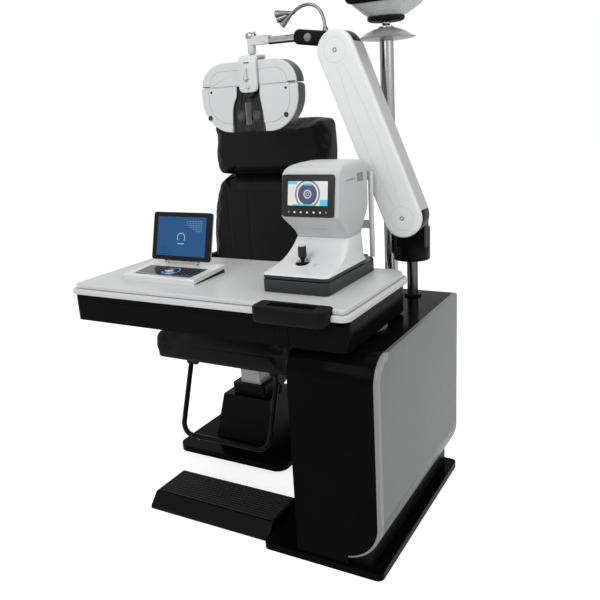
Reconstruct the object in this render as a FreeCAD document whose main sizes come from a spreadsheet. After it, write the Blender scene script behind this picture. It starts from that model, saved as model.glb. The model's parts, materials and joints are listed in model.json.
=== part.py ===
import FreeCAD, Part
import math
import os
import re
import Sketcher

# Combined ophthalmic chair and instrument stand, in millimetres.
# Frame: origin at the centre of the floor plate's underside, +X to the operator's right,
# +Y towards the back of the cabinet, +Z up.

SIZES = {
    # floor plates and footstep
    "base_width": 397, "base_depth": 726, "base_thick": 23, "base_corner": 20,
    "bridge_front": 150, "bridge_depth": 180, "bridge_thick": 12,
    "chair_x": -614.5, "chair_y": 299, "chair_plate_width": 491, "chair_plate_depth": 456,
    "chair_plate_front": 53, "chair_plate_thick": 25, "chair_plate_corner": 45,
    "step_length": 477, "step_depth": 188, "step_front": -331, "step_height": 50, "step_lip": 12,
    "step_bevel": 35, "step_wall": 4,
    "tread_thick": 2, "tread_margin": 6, "rib_height": 2, "rib_width": 6, "rib_pitch": 12, "rib_count": 12,
    # chair lift
    "casing_width": 276, "casing_depth": 246, "casing_height": 180, "casing_top_width": 216,
    "casing_top_depth": 178, "casing_wall": 5, "collar_width": 150, "collar_depth": 140,
    "collar_height": 45, "collar_round": 10, "column_width": 92, "column_depth": 100, "column_wall": 6,
    "column_round": 6, "column_low": 90, "collar_gap": 0.5, "guide_gap": 0.3, "actuator_top": 330,
    "screw_radius": 12,
    # seat and back
    "seat_bottom": 407, "seat_thick": 100, "seat_front": 49, "seat_depth": 450, "seat_width": 650,
    "soft_gap": 0.3, "seat_crown": 16, "seat_pull": 18, "seat_edge": 22, "seat_nose": 38,
    "roll_drop": 21, "roll_height": 78, "roll_round": 20,
    "frame_thick": 22, "frame_width": 430, "frame_front": 100, "frame_corner": 20,
    "back_low": 520, "back_height": 532, "back_width": 646, "back_thick": 110, "back_crown": 26,
    "back_pull": 26, "back_edge": 24, "back_taper": 35, "head_height": 213, "head_width": 566,
    "head_crown": 34,
    "head_pull": 30, "pinch_gap": 0.6,
    "channel_radius": 5, "channel_sink": 2, "channel_step": 92,
    "spine_width": 380, "spine_thick": 18, "spine_top": 1235, "spine_corner": 40,
    "crossbar_radius": 14, "crossbar_sink": 3, "arm_pivot_z": 694,
    "armrest_width": 54, "armrest_front": 229, "armrest_back": 520, "armrest_thick": 45, "armrest_low": 674,
    "armrest_round": 18, "armrest_gap": 5, "armrest_bar": 24, "armrest_eye": 22, "armrest_pin": 8,
    # footrest
    "foot_pivot_y": 139, "foot_pivot_z": 362, "foot_half": 200, "foot_reach": 100, "foot_drop": 274,
    "foot_tube": 10, "foot_bend": 50, "foot_eye": 15, "foot_eye_length": 20, "foot_pin": 7,
    "pin_gap": 0.05, "side_gap": 0.3, "lug_thick": 18, "washer": 3,
    # cabinet
    "cab_left": -77.5, "cab_front": -356, "cab_back": 356, "cab_top": 668, "cab_wall": 6,
    "cab_front_round": 78, "cab_back_round": 12,
    "panel_thick": 12, "hull_radius": 130, "hull_low": 47, "hull_lip": 4, "hull_tip": 92,
    "plinth_left": 60, "plinth_right": 160, "plinth_inset": 18, "plinth_wall": 10,
    "service_thick": 4, "service_inset": 4,
    "pivot_x": 47.5, "pivot_y": -91, "pivot_tube": 42, "pivot_foot": 80, "pivot_foot_thick": 12,
    "shaft_radius": 25, "shaft_length": 200, "ring_radius": 70, "ring_gap": 0.3, "shaft_hole": 27,
    "bore_gap": 0.05,
    # poles
    "arm_pole_x": 66.5, "arm_pole_y": 279, "arm_pole_radius": 18, "arm_pole_top": 908,
    "chart_x": -27, "chart_y": 322, "chart_radius": 22, "pole_wall": 3, "chart_top": 1500,
    "flange_grow": 11, "chart_flange_grow": 3, "flange_thick": 8,
    "tray_radius": 94, "tray_rim": 4, "tray_rise": 40, "tray_crown": 26,
    # table
    "table_left": -877.5, "table_length": 1006, "table_front": -371, "table_depth": 490,
    "table_top": 800, "slab_thick": 32, "rim_height": 18, "slab_inset": 14, "table_corner": 25,
    "table_back_corner": 70, "apron_inset": 10, "apron_height": 88, "apron_wall": 6, "apron_floor": 4,
    "drawer_right": -102.5, "drawer_gap": 0.5, "drawer_front_thick": 8, "drawer_height": 70,
    "drawer_box_depth": 283, "drawer_wall": 5, "drawer_box_inset": 12, "drawer_lift": 0.3,
    "handle_left": -147.5, "handle_width": 260, "handle_front": -411, "handle_depth": 70,
    "handle_low": 755, "handle_top": 805, "handle_round": 12, "grab_width": 150, "grab_depth": 35,
    "grab_sink": 30,
    # auto-refractor
    "ar_x": -92.5, "ar_width": 248, "ar_front": -262, "ar_depth": 374, "ar_base_height": 38,
    "ar_round": 40, "tray_recess": 12, "carriage_width": 130, "carriage_depth": 150, "carriage_y": -95,
    "side_travel": 40, "fore_travel": 15, "slide_gap": 0.3, "carriage_step": 2.4,
    "stage_width": 240, "stage_front": -256, "stage_back": 42, "stage_lip": 12, "stage_ramp": 22,
    "stage_knee": -112, "neck_front": -76, "neck_z": 930, "neck_width": 177, "stage_wall": 4,
    "core_inset": 8, "core_hold": 22, "ar_lift": 30,
    "head_front": -149, "head_low": 1000, "head_tilt_back": 20, "head_top": 1130, "head_crest": 1157,
    "crest_front": -95, "head_back": 42, "head_deep": 76, "head_belly": 1020, "head_full": 190,
    "head_round": 22,
    "bezel_width": 168, "bezel_height": 122, "bezel_thick": 8, "bezel_low": 1004, "bezel_tilt": 9,
    "bezel_round": 8,
    "stick_x": -112.5, "stick_y": -161, "stick_rise": 5.5, "stick_radius": 5, "stick_grip": 11,
    "stick_top": 920, "stick_waist": 886, "stick_pin": 1.5, "cup_low": 3.4, "cup_radius": 6.5,
    "drum_radius": 5, "drum_half": 3.5, "well_half": 15, "boot_radius": 14, "boot_hole": 10.3,
    "boot_height": 4,
    "button_radius": 8.5, "button_height": 8, "button_gap": 1.2, "button_sink": 4,
    "rest_half": 90, "rest_post": 8, "rest_clear": 4, "rest_top": 1108, "rest_cup_z": 955, "rest_bar": 6,
    "cup_width": 70, "cup_depth": 22, "brow_height": 26,
    # control panel
    "panel_left": -728.5, "panel_width": 291, "panel_front": -271, "panel_depth": 170,
    "panel_low_height": 20, "panel_high": 30, "panel_round": 10, "dial_radius": 18, "dial_height": 9,
    "dial_gap": 0.4, "dial_forward": 68, "keypad_width": 236, "keypad_depth": 96, "keypad_sink": 1.5,
    "keypad_front": 20,
    "screen_left": -712.5, "screen_width": 238, "screen_height": 165, "screen_thick": 14,
    "screen_y": -126, "screen_tilt": 15, "screen_round": 10, "screen_axle": 3, "screen_lift": 5,
    "lcd_width": 200, "lcd_height": 130, "lcd_thick": 2, "lcd_low": 20, "ear_thick": 4,
    # phoropter arm
    "arm_pivot_x": 88.8, "arm_low_z": 958, "arm_length": 558, "arm_lean": 22.1, "arm_front": 130,
    "arm_round": 62, "hub_radius": 60, "hub_front": 145.4, "hub_back": 217, "arm_skin": 5, "arm_rim": 4,
    "beam_thick": 8, "beam_gap": 0.3, "eye_radius": 34, "arm_pin": 14, "rear_gap": 1, "rear_back": 215,
    "tube_half": 26, "tube_inset": 84, "tube_depth": 30,
    "block_radius": 60, "block_low": 797, "block_top": 903, "lug_half": 48, "lug_low": 850, "lug_front": 205,
    "lug_back": 242,
    "link_left": -284, "link_z": 1527, "link_height": 50, "link_front": 165.2, "link_back": 205,
    "link_round": 24, "knob_x": -228, "knob_radius": 12, "knob_length": 12,
    "bar_radius": 12, "bar_y": 185, "bar_inner": -185, "bar_bore_end": -120, "bar_gap": 0.05,
    "elbow_right": -383, "elbow_left": -470, "elbow_height": 28, "elbow_depth": 28,
    "rod_x": -455, "rod_radius": 8, "rod_sleeve": 13, "rod_sleeve_low": 1490, "cap_radius": 18,
    "cap_height": 12, "rod_gap": 0.05,
    # lamp
    "lamp_radius": 4, "lamp_socket": 10, "lamp_x": -176, "lamp_bend": 55,
    "lamp_head_x": -294, "lamp_head_z": 1606,
    "lamp_cone_small": 5, "lamp_cone_big": 14, "lamp_cone_length": 52, "lamp_spread": 24,
    # phoropter
    "pho_x": -455, "pho_half": 191, "pho_front": 139, "pho_back": 197, "pho_low": 1238, "seam_z": 1390,
    "pho_top": 1468, "beam_half": 188, "beam_round": 73, "head_low_round": 118, "head_up_round": 5,
    "seam_gap": 0.4, "eyes_x": -462, "pd_half": 32, "case_inner": 58, "eye_recess": 8, "eye_hole": 9,
    "nose_clear": 6, "nose_gap_low": 24, "pd_open": 8, "pd_close": 6,
    "bracket_x": -445, "bracket_half": 36, "bracket_low": 1367,
    "bracket_high": 1486, "bracket_thick": 14, "bracket_round": 16, "rail_height": 12, "rail_depth": 16,
    # chart projector
    "neck_disc": 24, "neck_disc_thick": 4, "neck_stem": 11, "neck_ball": 14, "neck_ball_z": 1556,
    "neck_keel": 1, "neck_keel_half": 3,
    "proj_x": -44, "proj_y": 367, "proj_width": 177, "proj_depth": 276, "proj_low": 1562, "proj_foot": 52,
    "proj_foot_height": 14, "proj_belly": 66, "proj_side": 90, "proj_round": 26, "proj_shrink": 20,
    # one overrun for every cut that leaves a solid
    "over": 2,
}

PLACES = {
    "base_left": "-base_width / 2", "base_right": "base_width / 2",
    "chair_plate_right": "chair_x + chair_plate_width / 2",
    "step_right": "base_left", "step_left": "base_left - step_length",
    "step_back": "step_front + step_depth",
    "tread_front": "step_front + step_bevel + tread_margin",
    "casing_top": "chair_plate_thick + casing_height",
    "frame_top": "seat_bottom - soft_gap", "frame_low": "frame_top - frame_thick",
    "column_top": "frame_low",
    "seat_back": "seat_front + seat_depth", "back_front": "seat_back + 1 * soft_gap",
    "spine_front": "back_front + back_thick + soft_gap", "spine_back": "spine_front + spine_thick",
    "back_top": "back_low + back_height", "head_low_z": "back_top + pinch_gap",
    "arm_pivot_y": "spine_back + crossbar_radius - crossbar_sink",
    "armrest_inner": "back_width / 2 + armrest_gap",
    "cab_right": "base_right - panel_thick", "cab_floor": "base_thick",
    "cab_ceiling": "cab_top - cab_wall", "hull_x": "base_right - hull_radius",
    "hull_z": "hull_low + hull_radius", "hull_inner": "hull_radius - panel_thick",
    "hull_inner_z": "hull_low + hull_lip + hull_inner",
    "service_back": "cab_back - service_inset", "service_front": "service_back - service_thick",
    "shaft_low": "cab_top - shaft_length", "ring_low": "cab_top + ring_gap",
    "tray_low": "chart_top", "tray_top": "chart_top + tray_rise",
    "table_right": "table_left + table_length", "table_back": "table_front + table_depth",
    "slab_low": "table_top - slab_thick", "rim_top": "slab_low + rim_height",
    "apron_low": "slab_low - apron_height", "apron_left": "table_left + apron_inset",
    "apron_right": "table_right - apron_inset", "apron_front": "table_front + apron_inset",
    "apron_back": "table_back - apron_inset",
    "drawer_left": "apron_left + table_corner + apron_wall",
    "drawer_floor": "apron_low + apron_floor + drawer_lift",
    "handle_right": "handle_left + handle_width", "handle_back": "handle_front + handle_depth",
    "ar_left": "ar_x - ar_width / 2", "ar_right": "ar_x + ar_width / 2",
    "ar_back": "ar_front + ar_depth", "ar_top": "table_top + ar_base_height",
    "recess_low": "ar_top - tray_recess", "rest_y": "head_deep + fore_travel + rest_post + rest_clear",
    "core_rise": "ar_lift + core_hold", "carriage_top": "ar_top + carriage_step",
    "stage_low": "carriage_top + slide_gap", "stick_pivot_z": "stage_low + stick_rise",
    "boot_low": "stage_low + stage_lip + boot_height / 2", "seam_top": "neck_z + slide_gap",
    "panel_back": "panel_front + panel_depth",
    "dial_x": "panel_left + panel_width / 2", "dial_y": "panel_front + dial_forward",
    "panel_rise": "(panel_high - panel_low_height) / panel_depth",
    "keypad_low": "table_top + panel_low_height + panel_rise * keypad_front - keypad_sink",
    "keypad_high": "keypad_low + panel_rise * keypad_depth",
    "screen_x": "screen_left + screen_width / 2", "screen_axle_z": "table_top + panel_high + screen_lift",
    "arm_high_x": "arm_pivot_x - arm_length * sin(arm_lean)",
    "arm_high_z": "arm_low_z + arm_length * cos(arm_lean)",
    "beam_front": "arm_front + arm_skin + beam_gap", "beam_back": "beam_front + beam_thick",
    "elbow_top": "link_z + elbow_height / 2", "elbow_low": "link_z - elbow_height / 2",
    "link_top": "link_z + link_height / 2", "link_low": "link_z - link_height / 2",
    "bracket_front": "pho_front - bracket_thick", "head_top_z": "seam_z - seam_gap",
    "proj_belly_z": "proj_low + proj_belly", "proj_top": "proj_low + proj_belly + proj_side + proj_shrink",
}

doc = FreeCAD.newDocument("refraction_unit")
sizes_sheet = doc.addObject("Spreadsheet::Sheet", "Sizes")
places_sheet = doc.addObject("Spreadsheet::Sheet", "Places")

WORD = re.compile(r"[a-z][a-z0-9_]*")


def full(text, own_sheet=False):
    """Put the sheet's name before each size or place in an expression."""
    def owner(match):
        word = match.group(0)
        if word in SIZES:
            return "Sizes." + word
        if word in PLACES and not own_sheet:
            return "Places." + word
        return word
    return WORD.sub(owner, text)


for row, (name, number) in enumerate(SIZES.items(), 1):
    sizes_sheet.set("A%d" % row, name)
    sizes_sheet.set("B%d" % row, str(number))
    sizes_sheet.setAlias("B%d" % row, name)
for row, name in enumerate(PLACES, 1):
    places_sheet.set("A%d" % row, name)
    places_sheet.setAlias("B%d" % row, name)
for row, formula in enumerate(PLACES.values(), 1):
    places_sheet.set("B%d" % row, "=" + full(formula, own_sheet=True))
doc.recompute()


def value(text):
    """The number that an expression in the sheets' words stands for."""
    return float(places_sheet.evalExpression(full(text)))


def bind(thing, **expressions):
    """Bind properties of a document object; a dot in a property's name is written as two underscores."""
    for prop, text in expressions.items():
        thing.setExpression(prop.replace("__", "."), full(text))


PLANE_ROLES = {"XY": "XY_Plane", "XZ": "XZ_Plane", "YZ": "YZ_Plane"}
NODES = []
CUTS = []


def rect(low_u, high_u, low_v, high_v):
    """The four corners of a rectangle, counterclockwise from its low corner."""
    return [(low_u, low_v), (high_u, low_v), (high_u, high_v), (low_u, high_v)]


class Piece:
    """One sub-part as a PartDesign body, with sketches on its own origin planes."""

    def __init__(self, name, is_node=True):
        self.body = doc.addObject("PartDesign::Body", name)
        self.body.Label = name
        self.body.AllowCompound = True
        if is_node:
            NODES.append(self.body)

    def sketch(self, plane, low, length):
        """An empty sketch at the side of the slice from low to low + length that faces its normal's tail."""
        sketch = self.body.newObject("Sketcher::SketchObject", self.body.Name + "_sketch")
        role = PLANE_ROLES[plane]
        support = [item for item in self.body.Origin.OriginFeatures if item.Role == role][0]
        sketch.AttachmentSupport = [(support, "")]
        sketch.MapMode = "FlatFace"
        offset = "-(%s) - (%s)" % (low, length) if plane == "XZ" else low
        bind(sketch, AttachmentOffset__Base__z=offset)
        return sketch

    def outline(self, sketch, points):
        """A closed outline of straight lines whose corners are bound to the sheets."""
        corners = [(value(u), value(v)) for u, v in points]
        count = len(points)
        for i, (u, v) in enumerate(corners):
            after = corners[(i + 1) % count]
            line = Part.LineSegment(FreeCAD.Vector(u, v, 0), FreeCAD.Vector(after[0], after[1], 0))
            sketch.addGeometry(line, False)
        for i in range(count):
            sketch.addConstraint(Sketcher.Constraint("Coincident", i, 2, (i + 1) % count, 1))
        for i, names in enumerate(points):
            for kind, letter, text, number in zip(("DistanceX", "DistanceY"), "uv", names, corners[i]):
                place = sketch.addConstraint(Sketcher.Constraint(kind, -1, 1, i, 1, number))
                sketch.renameConstraint(place, "%s_%d" % (letter, i))
                sketch.setExpression("Constraints.%s_%d" % (letter, i), full(text))

    def ring(self, sketch, centre, radius):
        """A circle whose centre and radius are bound to the sheets."""
        u, v = (value(text) for text in centre)
        index = sketch.GeometryCount
        circle = Part.Circle(FreeCAD.Vector(u, v, 0), FreeCAD.Vector(0, 0, 1), value(radius))
        sketch.addGeometry(circle, False)
        for kind, letter, text, number in zip(("DistanceX", "DistanceY"), "uv", centre, (u, v)):
            place = sketch.addConstraint(Sketcher.Constraint(kind, -1, 1, index, 3, number))
            sketch.renameConstraint(place, "ring_%s_%d" % (letter, index))
            sketch.setExpression("Constraints.ring_%s_%d" % (letter, index), full(text))
        size = sketch.addConstraint(Sketcher.Constraint("Radius", index, value(radius)))
        sketch.renameConstraint(size, "ring_radius_%d" % index)
        sketch.setExpression("Constraints.ring_radius_%d" % index, full(radius))

    def extrude(self, kind, sketch, length, rounds):
        """Pad or pocket a sketch along its normal, then round the named corners."""
        feature = self.body.newObject("PartDesign::" + kind, self.body.Name + "_" + kind.lower())
        feature.Profile = sketch
        bind(feature, Length=length)
        if kind == "Pocket":
            feature.Reversed = True
            CUTS.append(feature)
        if rounds:
            doc.recompute()
            for radius, corners in rounds.items():
                self.round_corners(sketch, corners, radius)
        return feature

    def round_corners(self, sketch, corners, radius):
        """Round the edges that run along a sketch's normal through its numbered corners."""
        normal = sketch.Placement.Rotation.multVec(FreeCAD.Vector(0, 0, 1))
        spots = [sketch.Placement.multVec(sketch.getPoint(i, 1)) for i in corners]
        self.round_edges(normal, spots, radius)

    def round_edges(self, way, spots, radius):
        """Round the straight edges along a direction whose lines pass through the given spots."""
        doc.recompute()
        base = self.body.Tip
        edges = []
        for number, edge in enumerate(base.Shape.Edges, 1):
            if not isinstance(edge.Curve, Part.Line):
                continue
            first, last = edge.Vertexes[0].Point, edge.Vertexes[-1].Point
            if last.sub(first).normalize().cross(way).Length > 1e-6:
                continue
            if any(first.sub(spot).cross(way).Length < 1e-4 for spot in spots):
                edges.append("Edge%d" % number)
        fillet = self.body.newObject("PartDesign::Fillet", self.body.Name + "_round")
        fillet.Base = (base, edges)
        bind(fillet, Radius=radius)
        doc.recompute()

    def pad(self, plane, points, low, length, rounds=None):
        """Add a prism between low and low + length along the plane's own axis."""
        sketch = self.sketch(plane, low, length)
        self.outline(sketch, points)
        self.extrude("Pad", sketch, length, rounds)
        return self

    def pocket(self, plane, points, low, length, rounds=None):
        """Cut a prism between low and low + length along the plane's own axis."""
        sketch = self.sketch(plane, low, length)
        self.outline(sketch, points)
        self.extrude("Pocket", sketch, length, rounds)
        return self

    def disc(self, plane, centre, radius, low, length):
        """Add a cylinder along the plane's own axis."""
        sketch = self.sketch(plane, low, length)
        self.ring(sketch, centre, radius)
        self.extrude("Pad", sketch, length, None)
        return self

    def bore(self, plane, centre, radius, low, length):
        """Cut a cylinder along the plane's own axis."""
        sketch = self.sketch(plane, low, length)
        self.ring(sketch, centre, radius)
        self.extrude("Pocket", sketch, length, None)
        return self

    def frustum(self, kind, low_points, low, high_points, high):
        """Add or cut a loft between two outlines in level planes."""
        foot = self.sketch("XY", low, "0")
        self.outline(foot, low_points)
        head = self.sketch("XY", high, "0")
        self.outline(head, high_points)
        loft = self.body.newObject("PartDesign::" + kind, self.body.Name + "_loft")
        loft.Profile = foot
        loft.Sections = [head]
        doc.recompute()
        return self

    def turn(self, centre, profile, kind="Revolution"):
        """Add or cut a solid of revolution about the upright axis through centre."""
        sketch = self.sketch("XZ", centre[1], "0")
        bind(sketch, AttachmentOffset__Base__x=centre[0])
        self.outline(sketch, profile)
        solid = self.body.newObject("PartDesign::" + kind, self.body.Name + "_turn")
        solid.Profile = sketch
        solid.ReferenceAxis = (sketch, ["V_Axis"])
        solid.Angle = 360
        if kind == "Groove":
            CUTS.append(solid)
        doc.recompute()
        return self

    def place(self, base, axis, angle):
        """Turn the body about a level axis and carry its origin to base."""
        self.body.Placement = FreeCAD.Placement(FreeCAD.Vector(0, 0, 0), FreeCAD.Rotation(axis, 1))
        bind(self.body, Placement__Rotation__Angle=angle, Placement__Base__x=base[0],
             Placement__Base__y=base[1], Placement__Base__z=base[2])
        return self


def solid_node(name, shape):
    """A sub-part whose shape is made in code from the sheets' values."""
    feature = doc.addObject("Part::Feature", name)
    feature.Label = name
    feature.Shape = shape
    feature.Placement = FreeCAD.Placement()
    NODES.append(feature)
    return feature


def cut_node(name, base, tool):
    """A sub-part that is a body less a tool."""
    cut = doc.addObject("Part::Cut", name)
    cut.Label = name
    cut.Base = base
    cut.Tool = tool
    NODES.append(cut)
    return cut


# Floor plates and footstep

base = Piece("base_plate")
base.pad("XY", rect("base_left", "base_right", "-base_depth / 2", "base_depth / 2"), "0", "base_thick",
         {"base_corner": [0, 1, 2, 3]})
base.pad("XY", rect("chair_plate_right", "base_left + over", "bridge_front", "bridge_front + bridge_depth"),
         "0", "bridge_thick")

step = Piece("footstep_casing")
step.pad("YZ", [("step_front", "0"), ("step_back", "0"), ("step_back", "step_height"),
                ("step_front + step_bevel", "step_height"), ("step_front", "step_lip")],
         "step_left", "step_length")
step.pocket("YZ", [("step_front + step_wall", "-over"), ("step_back - step_wall", "-over"),
                   ("step_back - step_wall", "step_height - step_wall"),
                   ("step_front + step_bevel", "step_height - step_wall"),
                   ("step_front + step_wall", "step_lip - step_wall / 2")],
            "step_left + step_wall", "step_length - 2 * step_wall")

tread = Piece("footstep_tread")
tread.pad("XY", rect("step_left + tread_margin", "step_right - tread_margin", "tread_front",
                     "step_back - tread_margin"), "step_height", "tread_thick")
for i in range(int(value("rib_count"))):
    rib_front = "tread_front + %d * rib_pitch" % i
    tread.pad("XY", rect("step_left + tread_margin", "step_right - tread_margin", rib_front,
                         rib_front + " + rib_width"), "step_height + tread_thick", "rib_height")

chair_plate = Piece("chair_plate")
chair_plate.pad("XY", rect("chair_x - chair_plate_width / 2", "chair_plate_right", "chair_plate_front",
                           "chair_plate_front + chair_plate_depth"), "0", "chair_plate_thick",
                {"chair_plate_corner": [0, 1, 2, 3]})


# Chair lift

def chair_rect(width, depth):
    """A rectangle centred on the lift column."""
    return rect("chair_x - (%s) / 2" % width, "chair_x + (%s) / 2" % width,
                "chair_y - (%s) / 2" % depth, "chair_y + (%s) / 2" % depth)


casing = Piece("chair_casing")
casing.frustum("AdditiveLoft", chair_rect("casing_width", "casing_depth"), "chair_plate_thick",
               chair_rect("casing_top_width", "casing_top_depth"), "casing_top")
casing.frustum("SubtractiveLoft",
               chair_rect("casing_width - 2 * casing_wall", "casing_depth - 2 * casing_wall"),
               "chair_plate_thick",
               chair_rect("casing_top_width - 2 * casing_wall", "casing_top_depth - 2 * casing_wall"),
               "casing_top - casing_wall")
casing.pad("XY", chair_rect("collar_width", "collar_depth"), "casing_top - casing_wall",
           "collar_height + casing_wall", {"collar_round": [0, 1, 2, 3]})
casing.pocket("XY", chair_rect("column_width + 2 * collar_gap", "column_depth + 2 * collar_gap"),
              "casing_top - casing_wall - over", "collar_height + casing_wall + 2 * over")

column = Piece("lift_column")
column.pad("XY", chair_rect("column_width", "column_depth"), "column_low", "column_top - column_low",
           {"column_round": [0, 1, 2, 3]})
column.pocket("XY", chair_rect("column_width - 2 * column_wall", "column_depth - 2 * column_wall"),
              "column_low - over", "column_top - column_low + 2 * over")

actuator = Piece("lift_actuator")
actuator.pad("XY", chair_rect("column_width - 2 * column_wall - 2 * guide_gap",
                              "column_depth - 2 * column_wall - 2 * guide_gap"),
             "chair_plate_thick", "actuator_top - chair_plate_thick")
actuator.bore("XY", ("chair_x", "chair_y"), "screw_radius", "chair_plate_thick + casing_wall",
              "actuator_top - chair_plate_thick")

# Seat, back and headrest

seat_frame = Piece("seat_frame")
seat_frame.pad("XY", rect("chair_x - frame_width / 2", "chair_x + frame_width / 2", "frame_front",
                          "spine_back"), "frame_low", "frame_thick", {"frame_corner": [0, 1]})
for side in (-1, 1):
    eye_inner = "foot_half - foot_eye_length / 2 - side_gap"
    low_x = "chair_x - (%s)" % eye_inner if side < 0 else "chair_x + %s - lug_thick" % eye_inner
    seat_frame.pad("YZ", rect("foot_pivot_y - foot_eye", "foot_pivot_y + foot_eye",
                              "foot_pivot_z - foot_eye", "frame_low + over"), low_x, "lug_thick",
                   {"foot_eye - side_gap": [0, 1]})
    pin_length = "foot_eye_length + 2 * side_gap + over"
    pin_low = "chair_x - foot_half - foot_eye_length / 2 - side_gap" if side < 0 \
        else "chair_x + %s - over" % eye_inner
    seat_frame.disc("YZ", ("foot_pivot_y", "foot_pivot_z"), "foot_pin", pin_low, pin_length)
    washer_low = "chair_x - foot_half - foot_eye_length / 2 - side_gap - washer" if side < 0 \
        else "chair_x + foot_half + foot_eye_length / 2 + side_gap"
    seat_frame.disc("YZ", ("foot_pivot_y", "foot_pivot_z"), "foot_eye - side_gap", washer_low, "washer")

back_frame = Piece("back_frame")
back_frame.pad("XZ", rect("chair_x - spine_width / 2", "chair_x + spine_width / 2", "frame_top",
                          "spine_top"), "spine_front", "spine_thick", {"spine_corner": [2, 3]})
back_frame.disc("YZ", ("arm_pivot_y", "arm_pivot_z"), "crossbar_radius", "chair_x - armrest_inner",
                "2 * armrest_inner")
back_frame.disc("YZ", ("arm_pivot_y", "arm_pivot_z"), "armrest_pin",
                "chair_x - armrest_inner - armrest_bar - 2 * side_gap - washer",
                "2 * (armrest_inner + armrest_bar + 2 * side_gap + washer)")
for side in (-1, 1):
    outer = "armrest_inner + armrest_bar + 2 * side_gap"
    low_x = "chair_x - (%s) - washer" % outer if side < 0 else "chair_x + %s" % outer
    back_frame.disc("YZ", ("arm_pivot_y", "arm_pivot_z"), "crossbar_radius", low_x, "washer")

for side, name in ((-1, "left_armrest"), (1, "right_armrest")):
    armrest = Piece(name)
    pad_low = "chair_x - armrest_inner - armrest_width" if side < 0 else "chair_x + armrest_inner"
    armrest.pad("XZ", rect(pad_low, pad_low + " + armrest_width", "armrest_low",
                           "armrest_low + armrest_thick"), "armrest_front", "armrest_back - armrest_front",
                {"armrest_round": [0, 1, 2, 3]})
    low_x = "chair_x - armrest_inner - side_gap - armrest_bar" if side < 0 \
        else "chair_x + armrest_inner + side_gap"
    armrest.pad("YZ", rect("armrest_back - armrest_eye", "arm_pivot_y", "arm_pivot_z - armrest_bar / 2",
                           "arm_pivot_z + armrest_bar / 2"), low_x, "armrest_bar")
    armrest.disc("YZ", ("arm_pivot_y", "arm_pivot_z"), "armrest_eye", low_x, "armrest_bar")
    armrest.bore("YZ", ("arm_pivot_y", "arm_pivot_z"), "armrest_pin + pin_gap", low_x + " - over",
                 "armrest_bar + 2 * over")


def arc_through(first, middle, last):
    """An arc edge through three points."""
    return Part.Arc(first, middle, last).toShape()


def pillow_wire(centre, across, up, half_wide, half_thick, bulge, edge):
    """A closed section of four bowed sides and four round corners in the plane of two directions."""
    def spot(u, v):
        return centre + across * u + up * v
    wide, thick = half_wide - edge, half_thick - edge
    turn = edge * math.sqrt(0.5)
    edges = []
    quarter = [(1, -1), (1, 1), (-1, 1), (-1, -1)]
    for number, (u_sign, v_sign) in enumerate(quarter):
        side_v = number % 2 == 0
        if side_v:
            start = spot(u_sign * half_wide, v_sign * thick)
            stop = spot(u_sign * half_wide, -v_sign * thick)
            bow = spot(u_sign * (half_wide + bulge[0]), 0)
            corner = (u_sign, -v_sign)
            corner_from, corner_to = stop, spot(corner[0] * wide, corner[1] * half_thick)
        else:
            start = spot(u_sign * wide, v_sign * half_thick)
            stop = spot(-u_sign * wide, v_sign * half_thick)
            bow = spot(0, v_sign * half_thick + (bulge[1] if v_sign > 0 else 0))
            corner = (-u_sign, v_sign)
            corner_from, corner_to = stop, spot(corner[0] * half_wide, corner[1] * thick)
        middle = spot(corner[0] * (wide + turn), corner[1] * (thick + turn))
        if bow.distanceToLine(start, stop.sub(start)) < 1e-6:
            edges.append(Part.makeLine(start, stop))
        else:
            edges.append(arc_through(start, bow, stop))
        edges.append(arc_through(corner_from, middle, corner_to))
    return Part.Wire(edges)


def cushion(name, middle, frame, length, half_wide, half_thick, crown, ends, edge, grooves, taper=0,
            roll=None):
    """A cushion lofted along the first direction of its frame: crowned, rounded in at both ends."""
    along, across, up = frame
    turns = (12, 30, 48, 68, 90)
    stations = []
    for degrees in turns:
        angle = math.radians(degrees)
        stations.append((-length / 2 + ends[0] * (1 - math.cos(angle)), ends[0] * (1 - math.sin(angle))))
    stations.append((0, 0))
    for degrees in reversed(turns):
        angle = math.radians(degrees)
        stations.append((length / 2 - ends[1] * (1 - math.cos(angle)), ends[1] * (1 - math.sin(angle))))
    wires = []
    for place, drawn in stations:
        fullness = 1 - (2 * place / length) ** 2
        corner = min(edge, half_thick - drawn) * 0.8
        wide = half_wide - drawn - taper * (place / length + 0.5)
        wires.append(pillow_wire(middle + along * place, across, up, wide, half_thick - drawn,
                                 (0, crown * fullness), corner))
    body = Part.makeLoft(wires, True, True)
    if roll:
        body = body.fuse(roll)
    for groove in grooves:
        body = body.cut(groove)
    return solid_node(name, body)


X_WAY, Y_WAY, Z_WAY = FreeCAD.Vector(1, 0, 0), FreeCAD.Vector(0, 1, 0), FreeCAD.Vector(0, 0, 1)


def channel(low, high):
    """A round cutter for one sewn channel between two points."""
    way = high.sub(low)
    return Part.makeCylinder(value("channel_radius"), way.Length, low, way)


seat_half = value("seat_thick") / 2 - value("seat_crown") / 2
seat_mid_z = value("seat_bottom") + seat_half
seat_mid = FreeCAD.Vector(value("chair_x"), value("seat_front + seat_depth / 2"), seat_mid_z)
seat_groove_z = value("seat_bottom + seat_thick + channel_radius - channel_sink")
seat_grooves = []
for i in range(2):
    groove_x = value("chair_x") + (i - 0.5) * 2 * value("channel_step")
    low = FreeCAD.Vector(groove_x, value("seat_front + seat_nose"), seat_groove_z)
    high = FreeCAD.Vector(groove_x, value("seat_back - seat_nose"), seat_groove_z)
    seat_grooves.append(channel(low, high))
seat_roll = Part.makeBox(value("seat_width - 2 * seat_edge"), value("frame_front - seat_front - soft_gap"),
                         value("roll_height"), FreeCAD.Vector(value("chair_x - seat_width / 2 + seat_edge"),
                                                              value("seat_front"),
                                                              value("seat_bottom - roll_drop")))
seat_roll = seat_roll.makeFillet(value("roll_round"), seat_roll.Edges)
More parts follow.
